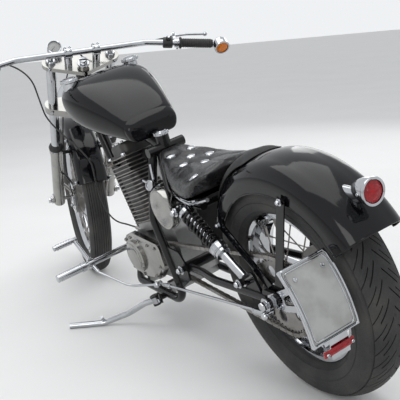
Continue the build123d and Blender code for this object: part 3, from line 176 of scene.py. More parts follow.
def turnedPart(profile, base=(0, 0, 0), direction=(0, 0, 1), steps=48, closed=False):
    # lathe work: profile is (height along the direction, radius), a ring primitive reshaped and spun
    deselectAll()
    bpy.ops.mesh.primitive_circle_add(vertices=len(profile), radius=1)
    piece = bpy.context.object
    for vertex, (height, radius) in zip(piece.data.vertices, profile):
        vertex.co = (radius, 0, height)
    first, last = Vector(piece.data.vertices[0].co), Vector(piece.data.vertices[-1].co)
    bpy.ops.object.mode_set(mode="EDIT")
    if not closed:
        closing = (first + last) / 2
        choose(piece, "EDGE", lambda place, along: (place - closing).length < 1e-7
               and abs(along.length - (first - last).length) < 1e-7)
        bpy.ops.mesh.delete(type="EDGE")
    bpy.ops.mesh.select_all(action="SELECT")
    bpy.ops.mesh.spin(steps=steps, angle=2 * math.pi, center=(0, 0, 0), axis=(0, 0, 1))
    tidyMesh(piece)
    piece.data.transform(placeAlong(base, direction))
    return piece


def barPart(start, end, radius, sides=24, edge=0.0008):
    # round bar with eased ends
    start, end = Vector(start), Vector(end)
    length = (end - start).length
    edge = min(edge, radius * 0.4, length * 0.3)
    return turnedPart([(0, 0), (0, radius - edge), (edge, radius), (length - edge, radius),
                       (length, radius - edge), (length, 0)], start, end - start, sides)


def cordLine(points):
    # smooth open line near the points, from the first to the last
    deselectAll()
    bpy.ops.curve.primitive_nurbs_path_add()
    piece = bpy.context.object
    piece.data.splines.clear()
    line = piece.data.splines.new("NURBS")
    line.points.add(len(points) - 1)
    for point, place in zip(line.points, points):
        point.co = (*place, 1)
    line.order_u = 3
    line.use_endpoint_u = True
    piece.data.dimensions = "3D"
    piece.data.resolution_u = 12
    return piece


def tubeAlong(points, radius, smooth=True, sides=3):
    # bent tube along points, a mesh with closed ends
    piece = cordLine(points)
    curve = piece.data
    curve.splines[0].order_u = 3 if smooth else 2
    curve.resolution_u = 10 if smooth else 1
    curve.bevel_depth = radius
    curve.bevel_resolution = sides
    curve.use_fill_caps = True
    pickOnly(piece)
    bpy.ops.object.convert(target="MESH")
    return tidyMesh(bpy.context.object)


def boltPart(base, direction, size, washer=True):
    # hexagon head with a chamfered top on a washer
    deselectAll()
    bpy.ops.mesh.primitive_cylinder_add(vertices=6, radius=size, depth=size * 1.1,
                                        location=(0, 0, size * 0.55))
    piece = bpy.context.object
    applyPlace(piece)
    modify(piece, "BEVEL", width=size * 0.12, segments=2)
    if washer:
        ring = turnedPart([(0, size * 0.3), (0, size * 1.45), (size * 0.22, size * 1.45),
                           (size * 0.22, size * 0.3)], steps=20, closed=True)
        piece.data.transform(Matrix.Translation((0, 0, size * 0.22)))
        piece = joinPieces([piece, ring])
    piece.data.transform(placeAlong(base, direction))
    return piece


def domedScrew(base, direction, size):
    # round headed socket screw
    return turnedPart([(size * 0.35, 0), (size * 0.35, size * 0.45), (size * 0.9, size * 0.5),
                       (size * 0.95, size * 0.8), (size * 0.7, size), (0, size)], base, direction, 18)


def acornNut(base, direction, size):
    # hexagon nut with a domed cap on a washer
    dome = turnedPart([(size * 0.9, size * 0.84), (size * 1.15, size * 0.82), (size * 1.5, size * 0.62),
                       (size * 1.72, size * 0.3), (size * 1.78, 0)], base, direction, 20)
    return joinPieces([boltPart(base, direction, size), dome])


def ringBand(base, direction, inner, outer, width, steps=40):
    # flat ring with eased edges, from its base along the direction
    ease = min(width, outer - inner) * 0.25
    return turnedPart([(0, inner), (0, outer - ease), (ease, outer), (width - ease, outer),
                       (width, outer - ease), (width, inner)], base, direction, steps, True)


def ballPart(centre, direction, radius, rings, steps=24):
    turns = [number * math.pi / rings for number in range(rings + 1)]
    return turnedPart([(radius * math.cos(turn), radius * math.sin(turn)) for turn in turns],
                      centre, direction, steps)


def sectionRing(section, along, half, top, bottom):
    # closed ring: the section gives shares of the half width and of the height, and is mirrored
    left = [Vector((along, half * side, bottom + (top - bottom) * rise)) for side, rise in section]
    return left + [Vector((point.x, -point.y, point.z)) for point in reversed(left[1:-1])]


def bothHalves(half):
    # a half outline from the middle of the tread round to the middle inside, with its mirror image
    return half + [(-side, reach) for side, reach in reversed(half[1:-1])]


def loftSkin(rings):
    # skin over rings of equal point counts: a grid primitive laid on the rings, with closed ends
    count = len(rings[0])
    deselectAll()
    bpy.ops.mesh.primitive_grid_add(x_subdivisions=count, y_subdivisions=len(rings) - 1, size=1)
    piece = bpy.context.object
    for vertex in piece.data.vertices:
        column = round((vertex.co.x + 0.5) * count)
        row = round((vertex.co.y + 0.5) * (len(rings) - 1))
        vertex.co = rings[row][column % count]
    tidyMesh(piece, 1e-6)
    choose(piece, "EDGE", lambda place, along: False)
    bpy.ops.mesh.select_non_manifold()
    bpy.ops.mesh.edge_face_add()
    bpy.ops.object.mode_set(mode="OBJECT")
    return tidyMesh(piece, 1e-6)


def shadeByAngle(piece, angle):
    pickOnly(piece)
    bpy.ops.object.shade_smooth_by_angle(angle=math.radians(angle))


def finishParts(name, body, slotName, parts, steered=False, replaced=(), angle=32):
    # joins and parks a finished piece and ties it to its body, slot and finish
    piece = joinPieces(parts, name)
    piece.data.transform(parkSteered if steered else parkFixed)
    piece.data.materials.clear()
    piece.data.materials.append(finishes[slotName])
    shadeByAngle(piece, angle)
    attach(piece, body)
    if replaced:
        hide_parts(*replaced)


# Finishes
def startFinish(name):
    finish = bpy.data.materials.new(name)
    finish.use_nodes = True
    tree = finish.node_tree
    place = tree.nodes.new("ShaderNodeTexCoord").outputs["Object"]
    return finish, tree, tree.nodes["Principled BSDF"], place


def feed(tree, node, inputs):
    # each input gets a value, or a link from another node's output
    for key, value in inputs.items():
        if isinstance(value, bpy.types.NodeSocket):
            tree.links.new(value, node.inputs[key])
        else:
            node.inputs[key].default_value = value


def addNode(tree, kind, output, inputs):
    node = tree.nodes.new("ShaderNode" + kind)
    feed(tree, node, inputs)
    return node.outputs[output]


def noiseField(tree, place, scale, detail=3.0, rough=0.5, stretch=None):
    if stretch:
        place = addNode(tree, "Mapping", "Vector", {"Vector": place, "Scale": stretch})
    return addNode(tree, "TexNoise", "Fac", {"Vector": place, "Scale": scale, "Detail": detail,
                                             "Roughness": rough})


def mapField(tree, field, low, high, start=0.3, end=0.7):
    return addNode(tree, "MapRange", "Result", {"Value": field, "From Min": start, "From Max": end,
                                                "To Min": low, "To Max": high})


def mixColours(tree, field, first, second):
    mix = tree.nodes.new("ShaderNodeMix")
    mix.data_type = "RGBA"
    # inputs 6 and 7 are its two colours, and output 2 is the mixed one
    feed(tree, mix, {"Factor": field, 6: (*first, 1), 7: (*second, 1)})
    return mix.outputs[2]


def bumpInto(tree, shader, field, strength, distance):
    bump = addNode(tree, "Bump", "Normal", {"Height": field, "Strength": strength, "Distance": distance})
    tree.links.new(bump, shader.inputs["Normal"])


def paintFinish(name, colour, dust, gloss, shine, wave=0.00012):
    finish, tree, shader, place = startFinish(name)
    cloud = mapField(tree, noiseField(tree, place, 9, 5), 0, 0.55, 0.45, 0.8)
    speck = noiseField(tree, place, 420, 2)
    feed(tree, shader, {"Base Color": mixColours(tree, cloud, colour, dust), "Specular IOR Level": shine,
                        "Roughness": mapField(tree, speck, gloss, gloss + 0.1)})
    bumpInto(tree, shader, noiseField(tree, place, 70, 2), 0.25, wave)
    return finish


def metalFinish(name, colour, shade, rough, stretch=None, scale=60.0, pits=0.0):
    finish, tree, shader, place = startFinish(name)
    cloud = mapField(tree, noiseField(tree, place, 14, 4), 0, 1, 0.4, 0.75)
    field = noiseField(tree, place, scale, 5, 0.6, stretch)
    feed(tree, shader, {"Base Color": mixColours(tree, cloud, colour, shade), "Metallic": 1,
                        "Roughness": mapField(tree, field, *rough)})
    if pits:
        bumpInto(tree, shader, noiseField(tree, place, scale * 6, 3), pits, 0.0004)
    return finish


def softFinish(name, colour, dust, rough, grain, height, coarse=14.0):
    finish, tree, shader, place = startFinish(name)
    cloud = mapField(tree, noiseField(tree, place, coarse, 5), 0, 1, 0.42, 0.72)
    field = noiseField(tree, place, grain * 0.5, 3)
    feed(tree, shader, {"Base Color": mixColours(tree, cloud, colour, dust),
                        "Roughness": mapField(tree, field, *rough)})
    cells = addNode(tree, "TexVoronoi", "Distance", {"Vector": place, "Scale": grain})
    bumpInto(tree, shader, cells, 0.5, height)
    return finish


def lensFinish(name, colour, rough, through, density=1.0):
    finish, tree, shader, place = startFinish(name)
    field = noiseField(tree, place, 120, 2)
    deep = tuple(channel * density for channel in colour)
    feed(tree, shader, {"Base Color": mixColours(tree, mapField(tree, field, 0, 1), colour, deep),
                        "Roughness": mapField(tree, field, rough, rough + 0.08),
                        "Transmission Weight": through, "IOR": 1.49})
    return finish


softBlack = (0.014, 0.014, 0.015)
finishes = {
    "frame_black": paintFinish("framePaint", (0.006, 0.006, 0.007), (0.02, 0.019, 0.018), 0.16, 0.32),
    "gloss_black": paintFinish("tankPaint", (0.003, 0.003, 0.004), (0.007, 0.007, 0.008), 0.04, 0.3,
                               0.00005),
    "engine_black": softFinish("barrelEnamel", softBlack, (0.05, 0.047, 0.042), (0.34, 0.5), 900, 0.0002),
    "polished": metalFinish("polishedAlloy", (0.38, 0.375, 0.36), (0.27, 0.265, 0.25), (0.1, 0.26),
                            (1, 1, 6), 90),
    "cast_alloy": metalFinish("castAlloy", (0.36, 0.36, 0.36), (0.22, 0.215, 0.21), (0.32, 0.52),
                              None, 120, 0.3),
    "chrome": metalFinish("chromePlate", (0.52, 0.53, 0.55), (0.4, 0.41, 0.43), (0.03, 0.11), None, 40),
    "steel": metalFinish("oiledSteel", (0.33, 0.32, 0.31), (0.15, 0.13, 0.11), (0.28, 0.5), None, 150, 0.2),
    "tyre": softFinish("tyreRubber", (0.02, 0.02, 0.021), (0.058, 0.055, 0.05), (0.62, 0.85),
                       700, 0.0003, 9),
    "rubber": softFinish("softRubber", softBlack, (0.032, 0.031, 0.03), (0.5, 0.7), 900, 0.0002),
    "vinyl": softFinish("seatVinyl", (0.006, 0.006, 0.007), (0.013, 0.013, 0.014), (0.24, 0.38),
                        420, 0.0004),
    "pad_black": softFinish("padCloth", softBlack, (0.032, 0.032, 0.033), (0.62, 0.8), 650, 0.0006),
    "black_plastic": softFinish("boxPlastic", (0.016, 0.016, 0.017), (0.04, 0.038, 0.036), (0.38, 0.55),
                                800, 0.0002),
    "red_lens": lensFinish("redLens", (0.42, 0.004, 0.01), 0.05, 0.1, 0.55),
    "amber_lens": lensFinish("amberLens", (0.85, 0.23, 0.012), 0.05, 0.15, 0.75),
    "plate": softFinish("platePaint", (0.42, 0.425, 0.42), (0.3, 0.3, 0.285), (0.28, 0.42),
                        300, 0.0001, 20),
    "lamp_glass": lensFinish("lampGlass", (0.95, 0.97, 0.98), 0.01, 1.0),
}
for row in frame["record"]["subparts"]:
    mesh = nodes[row["node"]].data
    mesh.materials.clear()
    mesh.materials.append(finishes[row["material_slot"]])
print("finishes:", len(finishes))

# Tank
# a welded shell: wide at the front, narrow behind, with the pressed seam near its rear edge
tank = {
    # x, half width, top, bottom
    "stations": [
        (1.031, 0.092, 0.838, 0.782), (1.024, 0.124, 0.86, 0.762), (0.996, 0.149, 0.881, 0.747),
        (0.95, 0.16, 0.891, 0.736), (0.89, 0.159, 0.889, 0.722), (0.812, 0.142, 0.856, 0.705),
        (0.735, 0.117, 0.813, 0.692), (0.69, 0.102, 0.778, 0.684), (0.6735, 0.0965, 0.764, 0.6815),
        (0.6705, 0.094, 0.76, 0.6825), (0.6675, 0.095, 0.758, 0.6805), (0.655, 0.09, 0.747, 0.679),
        (0.649, 0.08, 0.738, 0.682),
    ],
    # share of the half width, share of the height
    "section": [(0.0, 1.0), (0.34, 0.992), (0.66, 0.965), (0.9, 0.865), (0.995, 0.68), (1.0, 0.47),
                (0.95, 0.22), (0.84, 0.05), (0.7, 0.0), (0.35, 0.0), (0.0, 0.0)],
    # the cut for the frame's backbone, which rises by the second pair
    "cutSpot": (0.83, 0, 0.672), "cutSize": (0.6, 0.052, 0.16), "cutSlope": (0.5195, 0.1844),
}
tankShell = loftSkin([sectionRing(tank["section"], *station) for station in tank["stations"]])
modify(tankShell, "SUBSURF", levels=3, render_levels=3)
deselectAll()
bpy.ops.mesh.primitive_cube_add(size=1, location=tank["cutSpot"], scale=tank["cutSize"])
tunnel = startPiece("tunnel")
applyPlace(tunnel)
tunnelTilt = math.degrees(math.atan2(tank["cutSlope"][1], tank["cutSlope"][0]))
tunnel.data.transform(turnAbout(tank["cutSpot"], -tunnelTilt, "Y"))
modify(tankShell, "BOOLEAN", object=tunnel, operation="DIFFERENCE", solver="EXACT")
bpy.data.objects.remove(tunnel)
finishParts("tankShell", "frame", "gloss_black", [tankShell], replaced=("fuel_tank",), angle=40)
print("tank done")

# Saddle
# tufted saddle: blown up by a short cloth run that the buttons hold down, then pleated
saddle = {
    # x, half width, top, bottom
    "stations": [
        (0.606, 0.02, 0.64, 0.627), (0.598, 0.034, 0.646, 0.623), (0.565, 0.05, 0.651, 0.611),
        (0.52, 0.07, 0.645, 0.59), (0.445, 0.106, 0.631, 0.566), (0.37, 0.131, 0.622, 0.563),
        (0.3, 0.142, 0.628, 0.563), (0.262, 0.142, 0.637, 0.58), (0.228, 0.136, 0.648, 0.612),
        (0.203, 0.124, 0.654, 0.633), (0.192, 0.104, 0.652, 0.641),
    ],
    "section": [(0.0, 1.0), (0.4, 0.985), (0.76, 0.93), (0.95, 0.78), (1.0, 0.5), (0.985, 0.22),
                (0.95, 0.03), (0.86, 0.0), (0.4, 0.0), (0.0, 0.0)],
    "buttons": [(0.518, 0.037), (0.518, -0.037), (0.462, 0.0), (0.43, 0.048), (0.43, -0.048),
                (0.384, 0.0), (0.276, 0.102), (0.276, -0.102)],
    # pleats run from button to button, and from a button to a place at the side
    "pleats": [(0, 2), (1, 2), (2, 3), (2, 4), (3, 5), (4, 5), (5, 6), (5, 7), (0, 3), (1, 4), (3, 6),
               (4, 7)],
    "sideRuns": [(0, (0.556, 0.062)), (1, (0.556, -0.062)), (3, (0.445, 0.112)), (4, (0.445, -0.112)),
                 (6, (0.3, 0.152)), (7, (0.3, -0.152)), (0, (0.6, 0.0)), (1, (0.6, 0.0)),
                 (6, (0.21, 0.0)), (7, (0.21, 0.0)), (6, (0.215, 0.13)), (7, (0.215, -0.13)),
                 (5, (0.215, 0.0)), (6, (0.372, 0.15)), (7, (0.372, -0.15))],
    "voxel": 0.006, "pressure": 4.0, "puff": 0.011, "tuft": 0.0075, "tuftSpread": 0.024,
    "pleat": 0.0014, "pleatSpread": 0.006,
    "button": [(-0.004, 0.013), (0.0, 0.015), (0.003, 0.0138), (0.0054, 0.0086), (0.0062, 0)],
    "panSide": [(0.489, 0.04), (0.489, 0.073), (0.442, 0.0995), (0.352, 0.1295), (0.284, 0.1335)],
}
buttons = saddle["buttons"]


def lineGap(place, start, end):
    # distance in plan from a point to a line between two points
    runX, runY = end[0] - start[0], end[1] - start[1]
    share = ((place.x - start[0]) * runX + (place.y - start[1]) * runY) / (runX * runX + runY * runY)
    share = min(1, max(0, share))
    return math.hypot(place.x - start[0] - share * runX, place.y - start[1] - share * runY)


def buttonGap(place, button):
    return math.hypot(place.x - button[0], place.y - button[1])


def puffUp(piece, pinned, pressure, most):
    # blows a closed form up with cloth pressure, holds what is pinned and caps how far a point moves
    rest = [vertex.co.copy() for vertex in piece.data.vertices]
    group = piece.vertex_groups.new(name="held")
    group.add([number for number, place in enumerate(rest) if pinned(place)], 1.0, "REPLACE")
    pickOnly(piece)
    cloth = piece.modifiers.new("Cloth", "CLOTH")
    cloth.settings.use_pressure = True
    cloth.settings.uniform_pressure_force = pressure
    cloth.settings.quality = 5
    cloth.settings.vertex_group_mass = "held"
    cloth.settings.effector_weights.gravity = 0
    cloth.collision_settings.use_collision = False
    for number in range(1, 21):
        bpy.context.scene.frame_set(number)
    bpy.ops.object.modifier_apply(modifier=cloth.name)
    bpy.context.scene.frame_set(1)
    for vertex, start in zip(piece.data.vertices, rest):
        move = vertex.co - start
        if move.length > most:
            vertex.co = start + move.normalized() * most
    piece.vertex_groups.clear()


saddleCover = loftSkin([sectionRing(saddle["section"], *station) for station in saddle["stations"]])
modify(saddleCover, "SUBSURF", levels=1, render_levels=1)
modify(saddleCover, "REMESH", mode="VOXEL", voxel_size=saddle["voxel"])
puffUp(saddleCover, lambda place: place.z < 0.585 or place.z > 0.6 and any(
    buttonGap(place, button) < 0.009 for button in buttons), saddle["pressure"], saddle["puff"])
modify(saddleCover, "SUBSURF", levels=1, render_levels=1)
for vertex in saddleCover.data.vertices:
    place = vertex.co
    if vertex.normal.z < 0.1:
        continue
    sunk = max(saddle["tuft"] * math.exp(-(buttonGap(place, button) / saddle["tuftSpread"]) ** 2)
               for button in buttons)
    gaps = [lineGap(place, buttons[first], buttons[second]) for first, second in saddle["pleats"]]
    gaps += [lineGap(place, buttons[first], end) for first, end in saddle["sideRuns"]]
    fold = saddle["pleat"] * math.exp(-(min(gaps) / saddle["pleatSpread"]) ** 1.5)
    vertex.co.z -= max(sunk, fold) * min(1, vertex.normal.z * 1.6)
bpy.context.view_layer.update()
saddleTop = copyPiece(saddleCover)
bpy.context.view_layer.update()
finishParts("saddleCover", "frame", "vinyl", [saddleCover], replaced=("seat",), angle=60)

saddleButton = turnedPart(saddle["button"], steps=32)
saddleButtons = []
for along, side in buttons:
    place, facing = saddleTop.ray_cast((along, side, 0.9), -toTop)[1:3]
    # the rear pair sits on the side slopes
    sloped = abs(side) >= 0.09
    tilt = Vector((0, math.copysign(0.45, side), 1)).normalized() if sloped else toTop
    tilt = (facing + tilt * 1.5).normalized()
    lift = 0.0045 if sloped else 0.0022
    saddleButtons.append(copyPiece(saddleButton, placeAlong(place + tilt * lift, tilt)))
bpy.data.objects.remove(saddleButton)
bpy.data.objects.remove(saddleTop)
finishParts("saddleButtons", "frame", "chrome", saddleButtons)
finishParts("panBeads", "frame", "chrome", [
    tubeAlong([(along, side * across, 0.5555) for along, across in saddle["panSide"]], 0.0028)
    for side in (1, -1)])
print("saddle done")

# Pad on the fender
pad = {"inner": 0.3622, "thick": 0.0215, "half": 0.068, "start": 36.8, "end": 73.2, "cuts": 11}
deselectAll()
bpy.ops.mesh.primitive_cube_add(size=1)
fenderPad = startPiece("fenderPad")
bpy.ops.object.mode_set(mode="EDIT")
bpy.ops.mesh.select_all(action="SELECT")
bpy.ops.mesh.subdivide(number_cuts=pad["cuts"])
bpy.ops.object.mode_set(mode="OBJECT")
for vertex in fenderPad.data.vertices:
    across, along, tall = vertex.co.x * 2, vertex.co.y * 2, vertex.co.z + 0.5
    crown = (1 - abs(across) ** 3.2) ** 0.45 * (1 - abs(along) ** 5) ** 0.4
    side = pad["half"] * across * (1 - 0.05 * (1 - tall) - 0.05 * abs(tall - 0.45))
    # the fender falls away to its sides below the pad
    fall = 0.5 * (side / 0.092) ** 2 * 0.028
    spread = pad["inner"] - fall + pad["thick"] * (0.12 + 0.88 * crown) * tall
    swing = (pad["end"] - pad["start"]) / 2 * along * (1 - 0.02 * (1 - tall))
    vertex.co = aroundPoint(fenderHub, spread, (pad["start"] + pad["end"]) / 2 + swing, side)
modify(fenderPad, "SUBSURF", levels=1, render_levels=1)
tidyMesh(fenderPad)
finishParts("fenderPad", "frame", "pad_black", [fenderPad], replaced=("fender_pad",), angle=60)
print("pad done")

# Tyres
rearTyre = {
    "radius": 0.323, "crown": 0.092, "treadHalf": 0.06, "depth": 0.0055, "repeats": 42,
    # gaps along one repeat: start, end, between which shares of the half width
    "grooves": [(0.0, 0.13, 0.1, 0.64), (0.5, 0.59, 0.42, 1.1)],
    "columns": [0.0, 0.13, 0.32, 0.5, 0.59, 0.8, 1.0],
    "rows": 12,
    # distances along the tread where the carcass below it is rounded
    "arcs": (0.0, 0.02, 0.04, 0.056), "shoulder": 0.0625,
    # (side, radius) down the side wall, round the bead and back inside
    "wall": [(0.064, 0.2975), (0.069, 0.286), (0.0708, 0.272), (0.07, 0.259), (0.0682, 0.257),
             (0.068, 0.255), (0.0696, 0.253), (0.0665, 0.24), (0.061, 0.231), (0.0605, 0.229),
             (0.058, 0.2285), (0.05, 0.22), (0.042, 0.2155), (0.0372, 0.215), (0.0367, 0.2085),
             (0.0287, 0.2082), (0.05, 0.25), (0.056, 0.2713), (0.045, 0.295), (0.0, 0.305)],
}


def crownPoint(tyre, arc, deep=0.0):
    # (side, radius) at a distance along the tread from its middle, and at a depth below it
    angle = arc / tyre["crown"]
    reach = tyre["crown"] - deep
    return reach * math.sin(angle), tyre["radius"] - tyre["crown"] + reach * math.cos(angle)


def sweepAhead(share):
    # how far a groove has swept round the tyre at a share of the half width, in repeats
    return 0.5 * share * share - 2.2 * share


columns = len(rearTyre["columns"]) - 1
deselectAll()
bpy.ops.mesh.primitive_grid_add(x_subdivisions=columns, y_subdivisions=rearTyre["rows"], size=1)
treadBlock = startPiece("treadBlock")
for vertex in treadBlock.data.vertices:
    vertex.co = (rearTyre["columns"][round((vertex.co.x + 0.5) * columns)], vertex.co.y + 0.5, 0)
for start, end, low, high in rearTyre["grooves"]:
    choose(treadBlock, "FACE", lambda place, normal: start < place.x < end and low < place.y < high)
    bpy.ops.mesh.delete(type="FACE")
bpy.ops.object.mode_set(mode="OBJECT")
treadSides = []
for side in (1, -1):
    half = copyPiece(treadBlock)
    for vertex in half.data.vertices:
        share, turn = vertex.co.y, vertex.co.x
        angle = (turn + sweepAhead(share) + (0.5 if side < 0 else 0)) * 2 * math.pi / rearTyre["repeats"]
        outward, radius = crownPoint(rearTyre, share * rearTyre["treadHalf"])
        vertex.co = (-radius * math.cos(angle), side * outward, radius * math.sin(angle))
    treadSides.append(half)
bpy.data.objects.remove(treadBlock)
treadPair = joinPieces(treadSides)
treadRing = [copyPiece(treadPair, Matrix.Rotation(2 * math.pi * number / rearTyre["repeats"], 4, "Y"))
             for number in range(rearTyre["repeats"])]
bpy.data.objects.remove(treadPair)
tread = tidyMesh(joinPieces(treadRing), 2e-5)
outwardFaces = sum(face.normal.dot(Vector((face.center.x, 0, face.center.z))) > 0
                   for face in tread.data.polygons)
if outwardFaces * 2 < len(tread.data.polygons):
    choose(tread, "FACE", lambda place, normal: True)
    bpy.ops.mesh.flip_normals()
    bpy.ops.object.mode_set(mode="OBJECT")
modify(tread, "SOLIDIFY", thickness=rearTyre["depth"], offset=-1)
modify(tread, "BEVEL", width=0.0009, segments=1, limit_method="ANGLE", angle_limit=math.radians(50))

carcassHalf = []
for arc in rearTyre["arcs"]:
    outward, radius = crownPoint(rearTyre, arc)
    carcassHalf.append((outward, radius - rearTyre["depth"] + 0.0006))
outward, radius = crownPoint(rearTyre, rearTyre["shoulder"])
carcassHalf += [(outward, radius - 0.002)] + rearTyre["wall"]
carcass = turnedPart(bothHalves(carcassHalf), direction=toSide, steps=120, closed=True)
rearTyrePiece = joinPieces([carcass, tread])
rearTyrePiece.data.transform(Matrix.Translation(rearAxle))
finishParts("rearTreadTyre", "rear_wheel", "tyre", [rearTyrePiece], replaced=("rear_tyre",), angle=40)

frontTyre = {
    "radius": 0.331, "crown": 0.05, "depth": 0.004, "groove": 0.0026, "flank": 0.0005,
    "grooves": (0.0048, 0.0144, 0.024, 0.033), "edge": 0.0385,
    "wall": [(0.0398, 0.307), (0.0432, 0.2985), (0.044, 0.2915), (0.043, 0.282), (0.0412, 0.2802),
             (0.0398, 0.273), (0.0362, 0.264), (0.0354, 0.2622), (0.0285, 0.256), (0.0222, 0.252),
             (0.0217, 0.2455), (0.0137, 0.2452), (0.027, 0.27), (0.032, 0.2896), (0.022, 0.31),
             (0.0, 0.318)],
}
outline = []
arc = 0.0
for middle in frontTyre["grooves"]:
    low, high = middle - frontTyre["groove"] / 2, middle + frontTyre["groove"] / 2
    outline += [(arc, 0.0), (low, 0.0), (low + frontTyre["flank"], frontTyre["depth"]),
                (high - frontTyre["flank"], frontTyre["depth"]), (high, 0.0)]
    arc = high + 0.002
outline.append((frontTyre["edge"], 0.0))
frontHalf = [crownPoint(frontTyre, arc, deep) for arc, deep in outline] + frontTyre["wall"]
frontTyrePiece = turnedPart(bothHalves(frontHalf), frontAxle, toSide, 120, True)
finishParts("frontRibbedTyre", "front_wheel", "tyre", [frontTyrePiece], True, ("front_tyre",), 40)
print("tyres done")

# Chain
chain = {"side": 0.086, "rear": 0.112, "front": 0.043, "gearbox": (0.655, 0.292), "links": 114,
         "plateTall": 0.0072, "plateThick": 0.0016, "roller": 0.005, "pin": 0.0022}
gearbox = Vector((chain["gearbox"][0], 0, chain["gearbox"][1]))
chainSpan = (gearbox - rearAxle).length
chainSlope = math.atan2(gearbox.z - rearAxle.z, gearbox.x - rearAxle.x)
chainWrap = math.acos((chain["rear"] - chain["front"]) / chainSpan)
rearArc = chain["rear"] * (2 * math.pi - 2 * chainWrap)
frontArc = chain["front"] * 2 * chainWrap
straightRun = math.sqrt(chainSpan ** 2 - (chain["rear"] - chain["front"]) ** 2)
chainLength = rearArc + frontArc + 2 * straightRun


def sprocketPoint(which, angle):
    # place on the pitch circle of the rear or front sprocket, with the rear one at the origin
    return aroundPoint((chainSpan if which == "front" else 0, 0), chain[which], math.degrees(angle))


def chainPoint(travel):
    # place on the pitch line, from the top of the rear sprocket backward round it
    travel %= chainLength
    if travel < rearArc:
        return sprocketPoint("rear", chainWrap + travel / chain["rear"])
    travel -= rearArc
    if travel < straightRun:
        start, end = sprocketPoint("rear", -chainWrap), sprocketPoint("front", -chainWrap)
        return start.lerp(end, travel / straightRun)
    travel -= straightRun
    if travel < frontArc:
        return sprocketPoint("front", travel / chain["front"] - chainWrap)
    start, end = sprocketPoint("front", chainWrap), sprocketPoint("rear", chainWrap)
    return start.lerp(end, (travel - frontArc) / straightRun)


chainPlace = Matrix.Translation(rearAxle + toSide * chain["side"]) @ Matrix.Rotation(-chainSlope, 4, "Y")
pitch = chainLength / chain["links"]
deselectAll()
bpy.ops.mesh.primitive_circle_add(vertices=16, radius=1, fill_type="NGON")
linkPlate = startPiece("linkPlate")
for number, vertex in enumerate(linkPlate.data.vertices):
    angle = 2 * math.pi * number / 16
    waist = 0.72 + 0.28 * abs(math.cos(angle)) ** 0.7
    vertex.co = (math.cos(angle) * chain["plateTall"] + math.copysign(pitch / 2, math.cos(angle)), 0,
                 math.sin(angle) * chain["plateTall"] * waist)
modify(linkPlate, "SOLIDIFY", thickness=chain["plateThick"], offset=0)
tidyMesh(linkPlate)
rollerHalf = [(0.0073, 0), (0.0073, chain["pin"]), (0.0045, chain["pin"]), (0.0045, chain["roller"])]
linkRoller = turnedPart([(-along, radius) for along, radius in rollerHalf] + rollerHalf[::-1],
                        direction=toSide, steps=10)
links = []
for number in range(chain["links"]):
    start, end = chainPoint(number * pitch), chainPoint((number + 1) * pitch)
    turn = math.atan2(end.z - start.z, end.x - start.x)
    spot = chainPlace @ Matrix.Translation((start + end) / 2) @ Matrix.Rotation(-turn, 4, "Y")
    gap = 0.006 if number % 2 else 0.0042
    links += [copyPiece(linkPlate, spot @ Matrix.Translation((0, side * gap, 0))) for side in (1, -1)]
    links.append(copyPiece(linkRoller, chainPlace @ Matrix.Translation(start)))
for part in (linkPlate, linkRoller):
    bpy.data.objects.remove(part)
finishParts("rollerChain", "frame", "steel", links, replaced=("drive_chain",))
print("chain done")

# Shock springs
spring = {"turns": 9.5, "wire": 0.0043, "lowRadius": 0.0175, "highRadius": 0.0212, "start": 0.137,
          "end": 0.2755, "side": 0.127}
shockLow, shockHigh = Vector((0.092, 0, 0.366)), Vector((0.35, 0, 0.528))
shockAlong = (shockHigh - shockLow).normalized()
springPlace = placeAlong((0, 0, 0), shockAlong)
coilPoints = []
steps = int(spring["turns"] * 12)
for number in range(steps + 1):
    share = number / steps
    angle = share * spring["turns"] * 2 * math.pi
    radius = spring["lowRadius"] + (spring["highRadius"] - spring["lowRadius"]) * share
    tall = spring["start"] + (spring["end"] - spring["start"]) * (share ** 1.12)
    coilPoints.append(springPlace @ Vector((radius * math.cos(angle), radius * math.sin(angle), tall)))
finishParts("springCoils", "frame", "frame_black", [
    tubeAlong([shockLow + toSide * (side * spring["side"]) + point for point in coilPoints], spring["wire"])
    for side in (1, -1)], replaced=("shock_springs",), angle=60)
print("springs done")

# Places on the engine and the handlebar
engineTilt = math.radians(16)
engineUp = Vector((math.sin(engineTilt), 0, math.cos(engineTilt)))
engineBack = Vector((-math.cos(engineTilt), 0, math.sin(engineTilt)))
crank = Vector((0.745, 0, 0.268))
barUp, barOut = 0.796, -0.029


def enginePoint(side, back, up):
    return crank + toSide * side + engineBack * back + engineUp * up


def barPoint(side, forward=0.0, up=0.0):
    # place on the swept handlebar at a distance to one side
    swept = max(0, (abs(side) - 0.235) / 0.237)
    return forkPoint(barUp + up, side, barOut - 0.058 * swept + forward)


